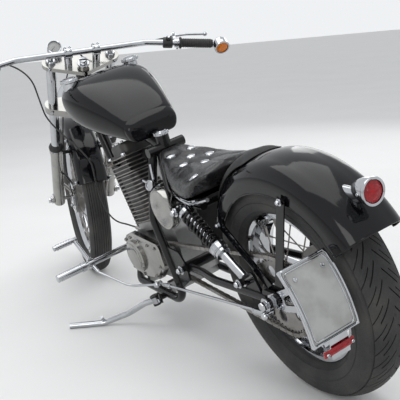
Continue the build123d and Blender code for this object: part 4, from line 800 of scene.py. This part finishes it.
# Tank caps: fluted turned caps on short necks, and the oil cap behind the tank
cap = {
    "profile": [(-0.03, 0.024), (-0.0016, 0.024), (-0.001, 0.0275), (0.001, 0.0296), (0.01, 0.0296),
                (0.0122, 0.028), (0.0128, 0.0215), (0.0146, 0.0205), (0.0158, 0.013), (0.016, 0)],
    # place, size, how far the neck reaches below the seat
    "spots": (((0.944, 0.119, 0.8873), 1.0, -0.03), ((0.944, -0.119, 0.8873), 1.0, -0.03),
              ((0.616, 0, 0.6863), 0.8, 0.0)),
    "flutes": 30, "fluteReach": 0.0294, "fluteRadius": 0.0013, "fluteHeights": (0.0015, 0.0098),
}
caps = []
for place, size, lowest in cap["spots"]:
    profile = [(max(height, lowest), radius * size) for height, radius in cap["profile"]]
    caps.append(turnedPart(profile, place))
    ends = [(cap["fluteReach"] * size, 0, height) for height in cap["fluteHeights"]]
    flute = barPart(*ends, cap["fluteRadius"], 8, 0.0004)
    for number in range(cap["flutes"]):
        turn = Matrix.Rotation(2 * math.pi * number / cap["flutes"], 4, "Z")
        caps.append(copyPiece(flute, Matrix.Translation(place) @ turn))
    bpy.data.objects.remove(flute)
finishParts("fillerCaps", "frame", "chrome", caps, replaced=("filler_caps",))
print("caps done")

# Engine: head nuts, rocker cover screws and ribs, port flange
engineParts = []
for side in (1, -1):
    engineParts += [acornNut(enginePoint(side * 0.078, back, 0.3525), engineUp, 0.0075)
                    for back in (0.066, -0.066)]
    engineParts += [domedScrew(enginePoint(side * 0.054, back, 0.3968), engineUp, 0.0062)
                    for back in (0.042, 0.0, -0.042)]
engineParts += [ringBand(enginePoint(0, back, 0.3965), engineUp, 0.014, 0.02, 0.0035, 32)
                for back in (0.0248, -0.0248)]
flangeSpot = enginePoint(-0.026, -0.105, 0.3257)
engineParts.append(ringBand(flangeSpot, -engineBack, 0.0195, 0.033, 0.007, 32))
engineParts += [boltPart(flangeSpot - engineBack * 0.007 + toSide * side, -engineBack, 0.006)
                for side in (0.026, -0.026)]
finishParts("engineFastenings", "frame", "chrome", engineParts)

# Both side covers: the dome on the left, the ring on the right, and their screws
cover = {
    "dome": [(-0.004, 0.0502), (0.0008, 0.05), (0.003, 0.047), (0.0048, 0.036), (0.006, 0.018), (0.0064, 0)],
    # side, then x and z of every screw
    "screws": ((0.1258, ((0.645, 0.334), (0.641, 0.268), (0.697, 0.2205), (0.795, 0.2035), (0.862, 0.2175),
                         (0.8765, 0.262), (0.868, 0.321), (0.826, 0.3375), (0.765, 0.3365), (0.7, 0.334))),
               (-0.1138, ((0.73, 0.32), (0.85, 0.32), (0.852, 0.23), (0.728, 0.23), (0.79, 0.349),
                          (0.79, 0.201)))),
}
coverParts = [turnedPart(cover["dome"], (0.812, 0.1375, 0.27), toSide, 72),
              ringBand((0.79, -0.1138, 0.275), -toSide, 0.046, 0.054, 0.003, 56)]
for side, spots in cover["screws"]:
    coverParts += [domedScrew((along, side, tall), toSide * side, 0.0058) for along, tall in spots]
finishParts("coverDetails", "frame", "polished", coverParts)

# Bead round every fin in bright steel finish: a painted highlight that gives the black fins their bright lines
fins = {
    "pitch": 0.0136, "edge": 0.0023,
    # count, height of the first, half widths to the side and back, corner radius
    "rows": ((13, 0.1248, 0.0898, 0.0808, 0.042), (5, 0.2963, 0.0948, 0.0858, 0.03)),
}


def finLoop(tall, halfSide, halfBack, corner):
    loop = []
    for sideWay, backWay, first in ((1, 1, 0), (-1, 1, 90), (-1, -1, 180), (1, -1, 270)):
        for turn in range(0, 91, 18):
            angle = math.radians(first + turn)
            loop.append(enginePoint(sideWay * (halfSide - corner) + corner * math.cos(angle),
                                    backWay * (halfBack - corner) + corner * math.sin(angle), tall))
    return loop + [loop[0]]


# the steel finish on these beads paints the fins' highlight lines, where the real fins are black
finishParts("finHighlightBeads", "frame", "steel", [
    tubeAlong(finLoop(low + fins["pitch"] * number, *shape), fins["edge"], False, 2)
    for count, low, *shape in fins["rows"] for number in range(count)], angle=60)

plugSpot, plugAim = enginePoint(0.072, -0.012, 0.334), (toSide * 0.92 + engineUp * 0.4).normalized()
finishParts("plugShell", "frame", "steel", [
    turnedPart([(0, 0.0095), (0.018, 0.0095), (0.018, 0.0125), (0.021, 0.0128), (0.029, 0.0128),
                (0.031, 0.011), (0.031, 0)], plugSpot, plugAim, 6),
    turnedPart([(0, 0.0062), (0.016, 0.0056), (0.018, 0.0036), (0.026, 0.0036), (0.027, 0)],
               plugSpot + plugAim * 0.031, plugAim, 24)], angle=20)
print("engine details done")

# Filter face: a plain domed plate with a rolled rim, and the small knob in front of it
finishParts("filterFace", "frame", "polished", [turnedPart(
    [(-0.0255, 0.0638), (-0.0235, 0.065), (-0.002, 0.065), (0.0012, 0.0636), (0.0022, 0.0612),
     (0.0012, 0.059), (0.0014, 0.056), (0.0034, 0.03), (0.004, 0)], (0.478, 0.136, 0.507), toSide, 96)])
knobSpot, knobAim = Vector((0.552, 0.112, 0.566)), Vector((-0.3, 1, 0.45)).normalized()
finishParts("primerKnob", "frame", "chrome", [
    turnedPart([(-0.03, 0.008), (-0.004, 0.009), (-0.002, 0.0165), (0.008, 0.0172), (0.0105, 0.016),
                (0.01, 0.014), (0.007, 0.0132), (0.0068, 0)], knobSpot, knobAim, 40),
    barPart(knobSpot + Vector((0.062, -0.006, 0.006)), knobSpot - knobAim * 0.004, 0.0046, 14),
    barPart(knobSpot + Vector((0.04, -0.034, 0.052)), knobSpot + Vector((0.018, -0.02, 0.008)), 0.004, 14)])

# Shock, axle and pivot fastenings
running = {
    # x, side, z, size of the domed nuts
    "acorns": ((0.35, 0.153, 0.528, 0.0095), (0.092, 0.153, 0.366, 0.009), (0.498, 0.1222, 0.29, 0.0105)),
    "adjusterSide": 0.112, "stayAngles": (106, 33), "staySide": 0.104,
    # distance along the shock, outer radius
    "cups": ((0.1045, 0.0222), (0.1155, 0.024), (0.1345, 0.0258)),
}
runningParts = []
for side in (1, -1):
    out, across = toSide * side, side * running["adjusterSide"]
    runningParts += [acornNut((along, side * reach, tall), out, size)
                     for along, reach, tall, size in running["acorns"]]
    runningParts += [boltPart((0, 0.1412 if side > 0 else -0.1296, 0.323), out, 0.0135),
                     barPart((-0.058, across, 0.323), (-0.034, across, 0.323), 0.0042, 12),
                     boltPart((-0.0405, across, 0.323), -toFront, 0.0068, False)]
    for angle in running["stayAngles"]:
        top = rearAxle.lerp(aroundPoint(fenderHub, 0.3, angle), 0.98)
        runningParts.append(acornNut(top + out * running["staySide"], out, 0.0065))
    foot = shockLow + out * spring["side"]
    runningParts += [ringBand(foot + shockAlong * reach, shockAlong, 0.015, outer, 0.003, 36)
                     for reach, outer in running["cups"]]
runningParts += [boltPart((0.965, reach, 0.2165), toTop, 0.007) for reach in (-0.03, 0.03)]
finishParts("runningFastenings", "frame", "chrome", runningParts)

# Brake rod: adjusting sleeves with locknuts, and ball ends
rodStart, rodEnd = Vector((0.664, 0.136, 0.206)), Vector((0.008, 0.1402, 0.291))
rodAlong = (rodEnd - rodStart).normalized()
rodParts = []
for share, length, radius in ((0.955, 0.06, 0.0088), (0.1, 0.03, 0.0075)):
    middle, half = rodStart.lerp(rodEnd, share), rodAlong * length / 2
    rodParts += [barPart(middle - half, middle + half, radius, 20, 0.0015),
                 boltPart(middle - rodAlong * (length / 2 + 0.004), -rodAlong, 0.0072, False)]
rodParts += [ballPart(place, toSide, 0.0115, 8)
             for place in (rodStart + toSide * 0.012, rodEnd + toSide * 0.008)]
finishParts("brakeRodDetails", "frame", "chrome", rodParts)

# Footrests and toe pegs: ringed sleeves with rounded ends, pedal and clamp bolts
rests = [
    # a ring is inner radius, outer radius, width and steps
    {"x": 0.908, "z": 0.28, "rings": 11, "first": 0.304, "step": 0.0072, "ring": (0.0126, 0.0146, 0.0042, 28),
     "endSide": 0.388, "end": [(0, 0.0142), (0.003, 0.0142), (0.0055, 0.012), (0.0065, 0.007), (0.0066, 0)]},
    {"x": 0.978, "z": 0.36, "rings": 6, "first": 0.284, "step": 0.01, "ring": (0.0086, 0.0112, 0.0062, 22),
     "endSide": 0.348, "end": [(0, 0.0098), (0.003, 0.0094), (0.0048, 0.006), (0.005, 0)]},
]
restParts, restRings = [], []
for side in (1, -1):
    out = toSide * side
    for rest in rests:
        middle = Vector((rest["x"], 0, rest["z"]))
        restRings += [ringBand(middle + out * (rest["first"] + rest["step"] * number), out, *rest["ring"])
                      for number in range(rest["rings"])]
        restParts.append(turnedPart(rest["end"], middle + out * rest["endSide"], out, rest["ring"][-1]))
    restParts += [boltPart((0.908, side * 0.262, 0.2968), toTop, 0.0058),
                  boltPart((0.9245, side * 0.29, 0.28), toFront, 0.0052)]
finishParts("footrestMetal", "frame", "chrome", restParts)
finishParts("footrestRings", "frame", "chrome", restRings)
print("running gear details done")

# Rolled edges of both fenders; a half section is given as (side, radius) from the middle
edges = {
    "rear": [(0.0, 0.3613), (0.03, 0.3583), (0.0487, 0.3554), (0.06, 0.3521), (0.0759, 0.3415),
             (0.0862, 0.3267), (0.0905, 0.3061), (0.0905, 0.2845)],
    "front": [(0.0, 0.3446), (0.0349, 0.34), (0.0503, 0.3319), (0.0588, 0.3116), (0.0588, 0.3015)],
}


def edgeLoop(centre, half, start, end, radius, steps):
    # closed rolled edge: along both sides and across both ends
    section = [(-side, reach) for side, reach in reversed(half[1:])] + half
    lastSide, lastReach = section[-1]
    turns = [(end - start) * number / steps for number in range(steps + 1)]
    loop = [aroundPoint(centre, reach, start, side) for side, reach in section]
    loop += [aroundPoint(centre, lastReach, start + turn, lastSide) for turn in turns[1:-1]]
    loop += [aroundPoint(centre, reach, end, side) for side, reach in reversed(section)]
    loop += [aroundPoint(centre, lastReach, end - turn, -lastSide) for turn in turns[1:]]
    return tubeAlong(loop, radius)


finishParts("rearFenderEdge", "frame", "gloss_black",
            [edgeLoop(fenderHub, edges["rear"], 28.2, 144.7, 0.003, 26)])
finishParts("frontFenderEdge", "front_end", "gloss_black",
            [edgeLoop(frontHub, edges["front"], 62.3, 159.6, 0.0026, 22)], True)
fenderParts = []
for side in (1, -1):
    out = toSide * side
    fenderParts += [acornNut(aroundPoint(frontHub, 0.3165, angle, side * 0.0612), out, 0.0058)
                    for angle in (122.5, 129.5)]
    fenderParts.append(boltPart(aroundPoint(frontHub, 0.317, 157.6, side * 0.0645), out, 0.0058))
finishParts("frontFenderBolts", "front_end", "chrome", fenderParts, True)
print("fender details done")

# Tail lamp: ribbed lens and bezel; plate: double bright frame, bolts and reflector screws
tail = {
    "lens": [(-0.0106, 0), (-0.0106, 0.0262), (0.0, 0.0262), (0.0022, 0.0256), (0.0042, 0.0228),
             (0.0044, 0.0214), (0.0062, 0.0196), (0.0064, 0.018), (0.008, 0.016), (0.0082, 0.0144),
             (0.0094, 0.0122), (0.0096, 0.0104), (0.0104, 0.008), (0.0106, 0.0062), (0.0112, 0.004),
             (0.0114, 0)],
    "bezel": [(-0.004, 0.0322), (0.001, 0.0338), (0.0045, 0.033), (0.0058, 0.03), (0.0042, 0.0272),
              (0.001, 0.0266), (-0.004, 0.0266)],
    "plateSides": (0.082, 0.22), "plateAngles": (140, 178), "plateMiddle": 0.151,
    # distance in from the plate's edge, bead radius, distance from the axle
    "beads": ((0.0025, 0.0022, 0.2945), (0.0105, 0.0017, 0.292)),
    # screws: distance from the axle, angle, side distance from the plate's middle, size
    "screws": ((0.2912, 146.5, 0.04, 0.0052), (0.2966, 183.7, 0.037, 0.0044)),
}
lampSpot = aroundPoint(fenderHub, 0.422, 134.5)
finishParts("tailLensRings", "frame", "red_lens", [turnedPart(tail["lens"], lampSpot, -toFront, 56)],
            replaced=("tail_lens",), angle=24)
lampParts = [turnedPart(tail["bezel"], lampSpot, -toFront, 56, True)]
lampParts += [domedScrew(lampSpot + Vector((0.016, side * 0.0288, 0.002)), toSide * side, 0.004)
              for side in (1, -1)]
for inset, radius, reach in tail["beads"]:
    turn = math.degrees(inset / 0.29)
    low, high = tail["plateSides"][0] + inset, tail["plateSides"][1] - inset
    upper, lower = tail["plateAngles"][0] + turn, tail["plateAngles"][1] - turn
    corners = [(low, upper), (high, upper), (high, lower), (low, lower), (low, upper)]
    loop = []
    for (fromSide, fromAngle), (toEnd, toAngle) in zip(corners, corners[1:]):
        for number in range(12):
            share = (number + 0.5) / 12
            loop.append(aroundPoint(rearHub, reach, fromAngle + (toAngle - fromAngle) * share,
                                    fromSide + (toEnd - fromSide) * share))
    lampParts.append(tubeAlong(loop + loop[:1], radius))
for reach, angle, apart, size in tail["screws"]:
    lampParts += [domedScrew(aroundPoint(rearHub, reach, angle, tail["plateMiddle"] + side * apart),
                             aroundPoint((0, 0), 1, angle), size) for side in (1, -1)]
finishParts("lampAndPlateTrim", "frame", "chrome", lampParts)

reflector = {"reach": 0.2968, "angle": 183.7, "halfAngle": 1.75, "half": 0.0445, "thick": 0.0062,
             "ripple": 0.0006, "ripples": 11, "ease": 0.0022}
deselectAll()
bpy.ops.mesh.primitive_grid_add(x_subdivisions=44, y_subdivisions=6, size=1)
reflectorSkin = startPiece("reflectorSkin")
for vertex in reflectorSkin.data.vertices:
    across, along = vertex.co.x * 2, vertex.co.y * 2
    ripple = reflector["ripple"] * math.cos(across * reflector["ripples"] * 2 * math.pi) * (1 - along ** 4)
    ease = reflector["ease"] * (abs(along) ** 3 + abs(across) ** 12)
    vertex.co = aroundPoint(rearHub, reflector["reach"] + (ripple if abs(across) < 0.97 else 0) - ease,
                            reflector["angle"] + reflector["halfAngle"] * along,
                            tail["plateMiddle"] + reflector["half"] * across)
modify(reflectorSkin, "SOLIDIFY", thickness=reflector["thick"], offset=-1)
finishParts("reflectorBar", "frame", "red_lens", [tidyMesh(reflectorSkin)], replaced=("reflector",))
print("tail details done")


# Wheels: spoke nipples and the sprocket's bolts
def nipples(centre, flanges, rimRadius, rimSide, twist=24):
    # flanges are (side, radius) of the spoke holes on the left and the right
    parts = []
    for side, (flangeSide, flangeRadius) in zip((1, -1), flanges):
        for number in range(16):
            start = 22.5 * (number + (0.5 if side < 0 else 0))
            low = aroundPoint(centre, flangeRadius, start, flangeSide)
            high = aroundPoint(centre, rimRadius, start + (twist if number % 2 else -twist), side * rimSide)
            inward = (low - high).normalized()
            parts += [turnedPart([(-0.002, 0.0042), (0.003, 0.004), (0.005, 0.0032), (0.017, 0.003),
                                  (0.019, 0.002)], high, inward, 10),
                      turnedPart([(-0.004, 0), (-0.004, 0.0036), (0.002, 0.0036), (0.004, 0.0021)],
                                 low, -inward, 10)]
    return parts


finishParts("rearNipples", "rear_wheel", "steel",
            nipples(rearHub, ((0.05, 0.05), (-0.056, 0.078)), 0.187, 0.008))
finishParts("frontNipples", "front_wheel", "steel",
            nipples(frontHub, ((0.034, 0.071), (-0.036, 0.04)), 0.227, 0.006), True)
sprocketSpots = [aroundPoint(rearHub, 0.0385, 36 + 72 * number, 0.088) for number in range(5)]
finishParts("rearHubDetails", "rear_wheel", "chrome", [
    *(boltPart(spot, toSide, 0.0062) for spot in sprocketSpots),
    ringBand((0, 0.088, 0.323), toSide, 0.0095, 0.022, 0.004, 40),
    ringBand((0, -0.0705, 0.323), -toSide, 0.07, 0.08, 0.004, 64)])
print("wheel details done")

# Fork: caps, stem nut, pinch bolts, seals, drain screws and the brake arm
fork = {
    "leg": 0.108, "stemOut": -0.045,
    "cap": [(-0.001, 0.018), (0.003, 0.0176), (0.0055, 0.015), (0.0056, 0)],
    "seal": [(0, 0.0183), (0, 0.0275), (0.006, 0.0285), (0.012, 0.027), (0.02, 0.0225), (0.024, 0.0196),
             (0.024, 0.0183)],
    "stemWasher": [(0, 0.0215), (0.003, 0.0215), (0.004, 0.02), (0.004, 0)],
}
forkParts, forkSeals = [], []
for side in (1, -1):
    leg, out = side * fork["leg"], toSide * side
    forkParts += [turnedPart(fork["cap"], forkPoint(0.748, leg), steerUp, 36),
                  boltPart(forkPoint(0.753, leg), steerUp, 0.011, False),
                  ringBand(forkPoint(0.3, leg), steerUp, 0.0183, 0.0262, 0.006, 40),
                  boltPart(forkPoint(0, side * 0.1382), out, 0.0115),
                  domedScrew(forkPoint(0.034, leg + side * 0.0236), out, 0.0045),
                  boltPart(forkPoint(-0.018, leg), -steerUp, 0.009, False)]
    forkParts += [boltPart(forkPoint(up, leg + side * 0.01, -0.029), -steerOut, 0.0055)
                  for up in (0.734, 0.527)]
    forkParts += [domedScrew(forkPoint(barUp + 0.0172, side * 0.05 + near, barOut + ahead), steerUp, 0.0046)
                  for ahead in (0.0085, -0.0085) for near in (-0.0085, 0.0085)]
    forkSeals.append(turnedPart(fork["seal"], forkPoint(0.306, leg), steerUp, 40, True))
armStart, armEnd = forkPoint(-0.02, 0.052, -0.03), forkPoint(0.062, 0.06, -0.052)
forkParts += [turnedPart(fork["stemWasher"], forkPoint(0.7538, 0, fork["stemOut"]), steerUp, 36),
              boltPart(forkPoint(0.7575, 0, fork["stemOut"]), steerUp, 0.0155, False),
              barPart(armStart, armEnd, 0.0058, 16, 0.002),
              acornNut(armStart + toSide * 0.003, toSide, 0.007),
              ringBand(forkPoint(0, 0.0505), toSide, 0.056, 0.064, 0.003, 56)]
finishParts("forkDetails", "front_end", "chrome", forkParts, True)
finishParts("forkSeals", "front_end", "rubber", forkSeals, True)
print("fork details done")

# Handlebar: ribbed grips, switch housings, perch clamps, lever balls and signal rims
bar = {
    "grip": (0.35, 0.468), "ribs": 13, "housing": (0.292, 0.326), "switch": 0.309, "perch": 0.34,
    "flange": [(0, 0.0113), (0, 0.0205), (0.0035, 0.0212), (0.007, 0.02), (0.0085, 0.016)],
    # one rib, as distance from its start and radius
    "rib": [(0, 0.0148), (0.0012, 0.0162), (0.006, 0.0162), (0.0072, 0.0148)],
    "knob": [(0, 0.0046), (0.003, 0.0046), (0.0042, 0.0034), (0.0042, 0)],
    "podRim": [(0, 0.0228), (0, 0.0275), (0.0016, 0.0282), (0.0034, 0.027), (0.0034, 0.0228)],
}
gripParts, housings, barParts = [], [], []
for side in (1, -1):
    start, end = (barPoint(side * reach) for reach in bar["grip"])
    along, length = (end - start).normalized(), (end - start).length
    profile = list(bar["flange"])
    for number in range(bar["ribs"]):
        low = 0.012 + number * (length - 0.018) / bar["ribs"]
        profile += [(low + further, radius) for further, radius in bar["rib"]]
    profile += [(length - 0.001, 0.014), (length, 0.0113)]
    gripParts.append(turnedPart(profile, start, along, 30, True))
    near, far = (barPoint(side * reach) for reach in bar["housing"])
    shell, switch, perch = (far - near).length, side * bar["switch"], side * bar["perch"]
    housings += [turnedPart([(0, 0.0115), (0, 0.0165), (0.003, 0.0195), (shell - 0.003, 0.0195),
                             (shell, 0.0165), (shell, 0.0115)], near, far - near, 36, True),
                 barPart(barPoint(switch, 0, 0.01), barPoint(switch, -0.006, 0.028), 0.0088, 20, 0.002)]
    pod = barPoint(side * 0.494)
    barParts += [turnedPart(bar["knob"], barPoint(switch, -0.0062, 0.0284), steerUp, 20),
                 domedScrew(barPoint(perch, -0.01, 0.0145), -steerOut, 0.0046),
                 domedScrew(barPoint(perch, -0.01, -0.0145), -steerOut, 0.0046),
                 boltPart(barPoint(perch, 0.04, 0.0078), steerUp, 0.0056),
                 ballPart(barPoint(side * 0.458, 0.056), along, 0.0085, 10),
                 turnedPart(bar["podRim"], pod - steerOut * 0.022, -steerOut, 44, True),
                 domedScrew(pod - steerOut * 0.001 + steerUp * 0.0266, steerUp, 0.004)]
finishParts("ribbedGrips", "front_end", "rubber", gripParts, True, ("bar_grips",), 24)
finishParts("switchHousings", "front_end", "black_plastic", housings, True)
finishParts("barDetails", "front_end", "chrome", barParts, True)
print("bar details done")

# Round speedometer: pale dial with plain ticks and a needle, under a bright ring; rim of the head lamp
gauge = {
    "dial": [(0, 0.0218), (0.0006, 0.0218), (0.0006, 0.008), (0.0012, 0.0076), (0.0012, 0)],
    "bezel": [(-0.001, 0.0218), (0.002, 0.0222), (0.003, 0.0238), (0.0022, 0.0254), (-0.001, 0.0256)],
    "lampRim": [(-0.004, 0.059), (0.0, 0.0612), (0.0042, 0.0604), (0.0058, 0.056), (0.004, 0.0522),
                (0.0, 0.0516), (-0.004, 0.0524)],
    "ticks": 21, "firstAngle": -135, "tickAngle": 13.5, "tickReach": 0.02,
}
gaugeAxis = (steerUp * 0.92 - steerOut * 0.39).normalized()
gaugeFace = forkPoint(0.774, 0.084, 0.042)
gaugePlace = placeAlong(gaugeFace - gaugeAxis * 0.0028, gaugeAxis)
dial = turnedPart(gauge["dial"])
dial.data.transform(gaugePlace)
finishParts("gaugeDial", "front_end", "plate", [dial], True)
marks = []
for number in range(gauge["ticks"]):
    inner = 0.0158 if number % 5 == 0 else 0.0176
    tick = barPart((inner, 0, 0.0007), (gauge["tickReach"], 0, 0.0007), 0.00045, 6, 0.0001)
    turn = math.radians(gauge["firstAngle"] + gauge["tickAngle"] * number)
    tick.data.transform(gaugePlace @ Matrix.Rotation(turn, 4, "Z"))
    marks.append(tick)
needle = barPart((-0.003, 0, 0.0016), (0.0165, 0, 0.0016), 0.0005, 8, 0.0002)
needle.data.transform(gaugePlace @ Matrix.Rotation(math.radians(gauge["firstAngle"]), 4, "Z"))
finishParts("gaugeMarks", "front_end", "black_plastic", marks + [needle], True)
lampFront = forkPoint(0.44, 0, 0.128) + toFront * 0.048
finishParts("gaugeAndLampRims", "front_end", "chrome", [
    turnedPart(gauge["bezel"], gaugeFace, gaugeAxis, 48, True),
    turnedPart(gauge["lampRim"], lampFront, toFront, 64, True),
    domedScrew(lampFront - toTop * 0.0612, -toTop, 0.0042)], True)
print("gauge done")

# Silencer trim and battery box screws
pipeSide = -0.166
finishParts("silencerTrim", "frame", "chrome", [
    ringBand((0.1495, pipeSide, 0.198), toFront, 0.024, 0.0395, 0.006, 56),
    ringBand((0.548, pipeSide, 0.1975), -toFront, 0.033, 0.04, 0.014, 56),
    ringBand((0.604, pipeSide, 0.196), -toFront, 0.0188, 0.0232, 0.018, 40),
    boltPart((0.5515, pipeSide, 0.2385), toTop, 0.0052),
    boltPart((0.591, pipeSide, 0.2195), toTop, 0.0052)])
finishParts("boxScrews", "frame", "steel", [
    domedScrew((along, side * 0.0756, tall), toSide * side, 0.0042)
    for tall in (0.44, 0.525) for along in (0.384, 0.45) for side in (1, -1)])
print("trim done")


# Cords
def readLine(piece):
    # points of the curve itself, in its own place
    bpy.context.view_layer.update()
    shape = bpy.data.meshes.new_from_object(piece.evaluated_get(bpy.context.evaluated_depsgraph_get()))
    places = [vertex.co.copy() for vertex in shape.vertices]
    bpy.data.meshes.remove(shape)
    return places


def rideCord(name, points, radius, body, slotName):
    # a cable that turns with the front end
    cordLine(points)
    piece = startPiece(name)
    piece.data.transform(parkSteered)
    places = readLine(piece)
    piece.data.bevel_depth = radius
    piece.data.bevel_resolution = 3
    piece.data.use_fill_caps = True
    piece.data.materials.append(finishes[slotName])
    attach(piece, body)


def bendCord(name, points, radius, slotName):
    # a cable between the frame and the front end: points are parked places
    route = cordLine(points)
    places = readLine(route)
    bpy.data.objects.remove(route)
    tubeAlong(places, radius, False)
    piece = startPiece(name)
    piece.data.materials.append(finishes[slotName])
    shadeByAngle(piece, 60)
    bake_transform(piece)


cables = {
    "brakeRadius": 0.0026, "clutchRadius": 0.0028,
    # along the handlebar: side, forward, up; along the fork: up, side, out
    "brakeBar": ((-0.338, 0.046, -0.006), (-0.3, 0.038, -0.012), (-0.22, 0.02, -0.015),
                 (-0.12, 0.018, -0.018)),
    "brakeFork": ((0.772, -0.03, 0.004), (0.715, 0.02, 0.034), (0.62, 0.048, 0.044), (0.5, 0.06, 0.044),
                  (0.4, 0.07, 0.036), (0.3, 0.0735, 0.03), (0.2, 0.0735, 0.016), (0.12, 0.068, -0.03)),
    "clutchFrame": ((0.858, 0.07, 0.34), (0.905, 0.084, 0.352), (0.985, 0.098, 0.354), (1.04, 0.1, 0.384),
                    (1.062, 0.1, 0.44), (1.05, 0.1, 0.52), (1.018, 0.102, 0.6)),
    "clutchFork": ((0.56, 0.15, -0.11), (0.64, 0.168, -0.08), (0.72, 0.185, -0.03)),
    "clutchBar": ((0.27, 0.05, -0.03), (0.336, 0.046, -0.006)),
}
rideCord("brakeCable", [barPoint(*place) for place in cables["brakeBar"]]
         + [forkPoint(*place) for place in cables["brakeFork"]] + [armEnd],
         cables["brakeRadius"], "front_end", "rubber")
onFrame = [parkFixed @ Vector(place) for place in cables["clutchFrame"]]
onFork = [parkSteered @ forkPoint(*place) for place in cables["clutchFork"]]
onBar = [parkSteered @ barPoint(*place) for place in cables["clutchBar"]]
bendCord("clutchCable", onFrame + onFork + onBar, cables["clutchRadius"], "rubber")
finishParts("cableEnd", "frame", "steel",
            [barPart((0.846, 0.066, 0.334), (0.872, 0.0745, 0.344), 0.0062, 16)])
print("cords done")

# Stage, light and camera
deselectAll()
bpy.ops.mesh.primitive_plane_add(size=60, location=(0, 0, 0))
floor = startPiece("studioFloor")
floorPaint, tree, shader, place = startFinish("floorPaint")
cloud = mapField(tree, noiseField(tree, place, 1.5, 4), 0, 1)
feed(tree, shader, {"Base Color": mixColours(tree, cloud, (0.86, 0.86, 0.855), (0.89, 0.89, 0.885)),
                    "Roughness": 0.75})
floor.data.materials.append(floorPaint)


def larger(tree, first, second):
    node = tree.nodes.new("ShaderNodeMath")
    node.operation = "MAXIMUM"
    feed(tree, node, {0: first, 1: second})
    return node.outputs[0]


# a brighter sky where it is seen straight or in a mirror than where it lights the room
world = bpy.data.worlds.new("studio")
bpy.context.scene.world = world
world.use_nodes = True
tree = world.node_tree
rays = tree.nodes.new("ShaderNodeLightPath").outputs
mirrored = larger(tree, rays["Is Glossy Ray"], rays["Is Transmission Ray"])
feed(tree, tree.nodes["Background"], {
    "Color": (0.94, 0.96, 0.98, 1),
    "Strength": mapField(tree, larger(tree, rays["Is Camera Ray"], mirrored), 0.62, 0.92, 0, 1)})

lamps = [
    # name, place, target, size, watts
    ("skyPanel", (0.3, 0.4, 4.2), (0.0, 0.0, 0.4), 4.0, 85),
    ("windowPanel", (-3.4, 3.6, 2.2), (-0.2, 0.0, 0.5), 2.2, 42),
    ("farPanel", (2.6, -3.6, 2.4), (0.1, 0.0, 0.5), 2.2, 26),
]
for name, spot, target, size, power in lamps:
    deselectAll()
    bpy.ops.object.light_add(type="AREA", location=spot)
    lamp = bpy.context.object
    lamp.name = name
    lamp.data.size = size
    lamp.data.energy = power
    lamp.rotation_euler = (Vector(target) - Vector(spot)).to_track_quat("-Z", "Y").to_euler()

# the photo's camera, found from the wheels; pixels is its focal length in a picture 400 wide
view = {"place": (-1.65228, 1.32892, 0.99921), "yaw": -29.771, "pitch": 12.128, "roll": -4.236,
        "pixels": 813.5, "wide": 400, "sensor": 36}
yaw, down, roll = (math.radians(view[key]) for key in ("yaw", "pitch", "roll"))
ahead = Vector((math.cos(yaw) * math.cos(down), math.sin(yaw) * math.cos(down), -math.sin(down)))
right = Vector((math.sin(yaw), -math.cos(yaw), 0))
upward = right.cross(ahead)
axes = (right * math.cos(roll) + upward * math.sin(roll),
        upward * math.cos(roll) - right * math.sin(roll), -ahead)
camera = bpy.data.objects.new("photoCamera", bpy.data.cameras.new("photoCamera"))
bpy.context.scene.collection.objects.link(camera)
spot = Vector(view["place"]) + parkedAxle - leanOnly @ rearAxle
camera.matrix_world = Matrix.Translation(spot) @ Matrix(axes).transposed().to_4x4()
camera.data.sensor_fit = "HORIZONTAL"
camera.data.sensor_width = view["sensor"]
camera.data.lens = view["pixels"] / view["wide"] * view["sensor"]
bpy.context.scene.camera = camera
bpy.context.scene.view_settings.view_transform = "Standard"

print("scene ready")
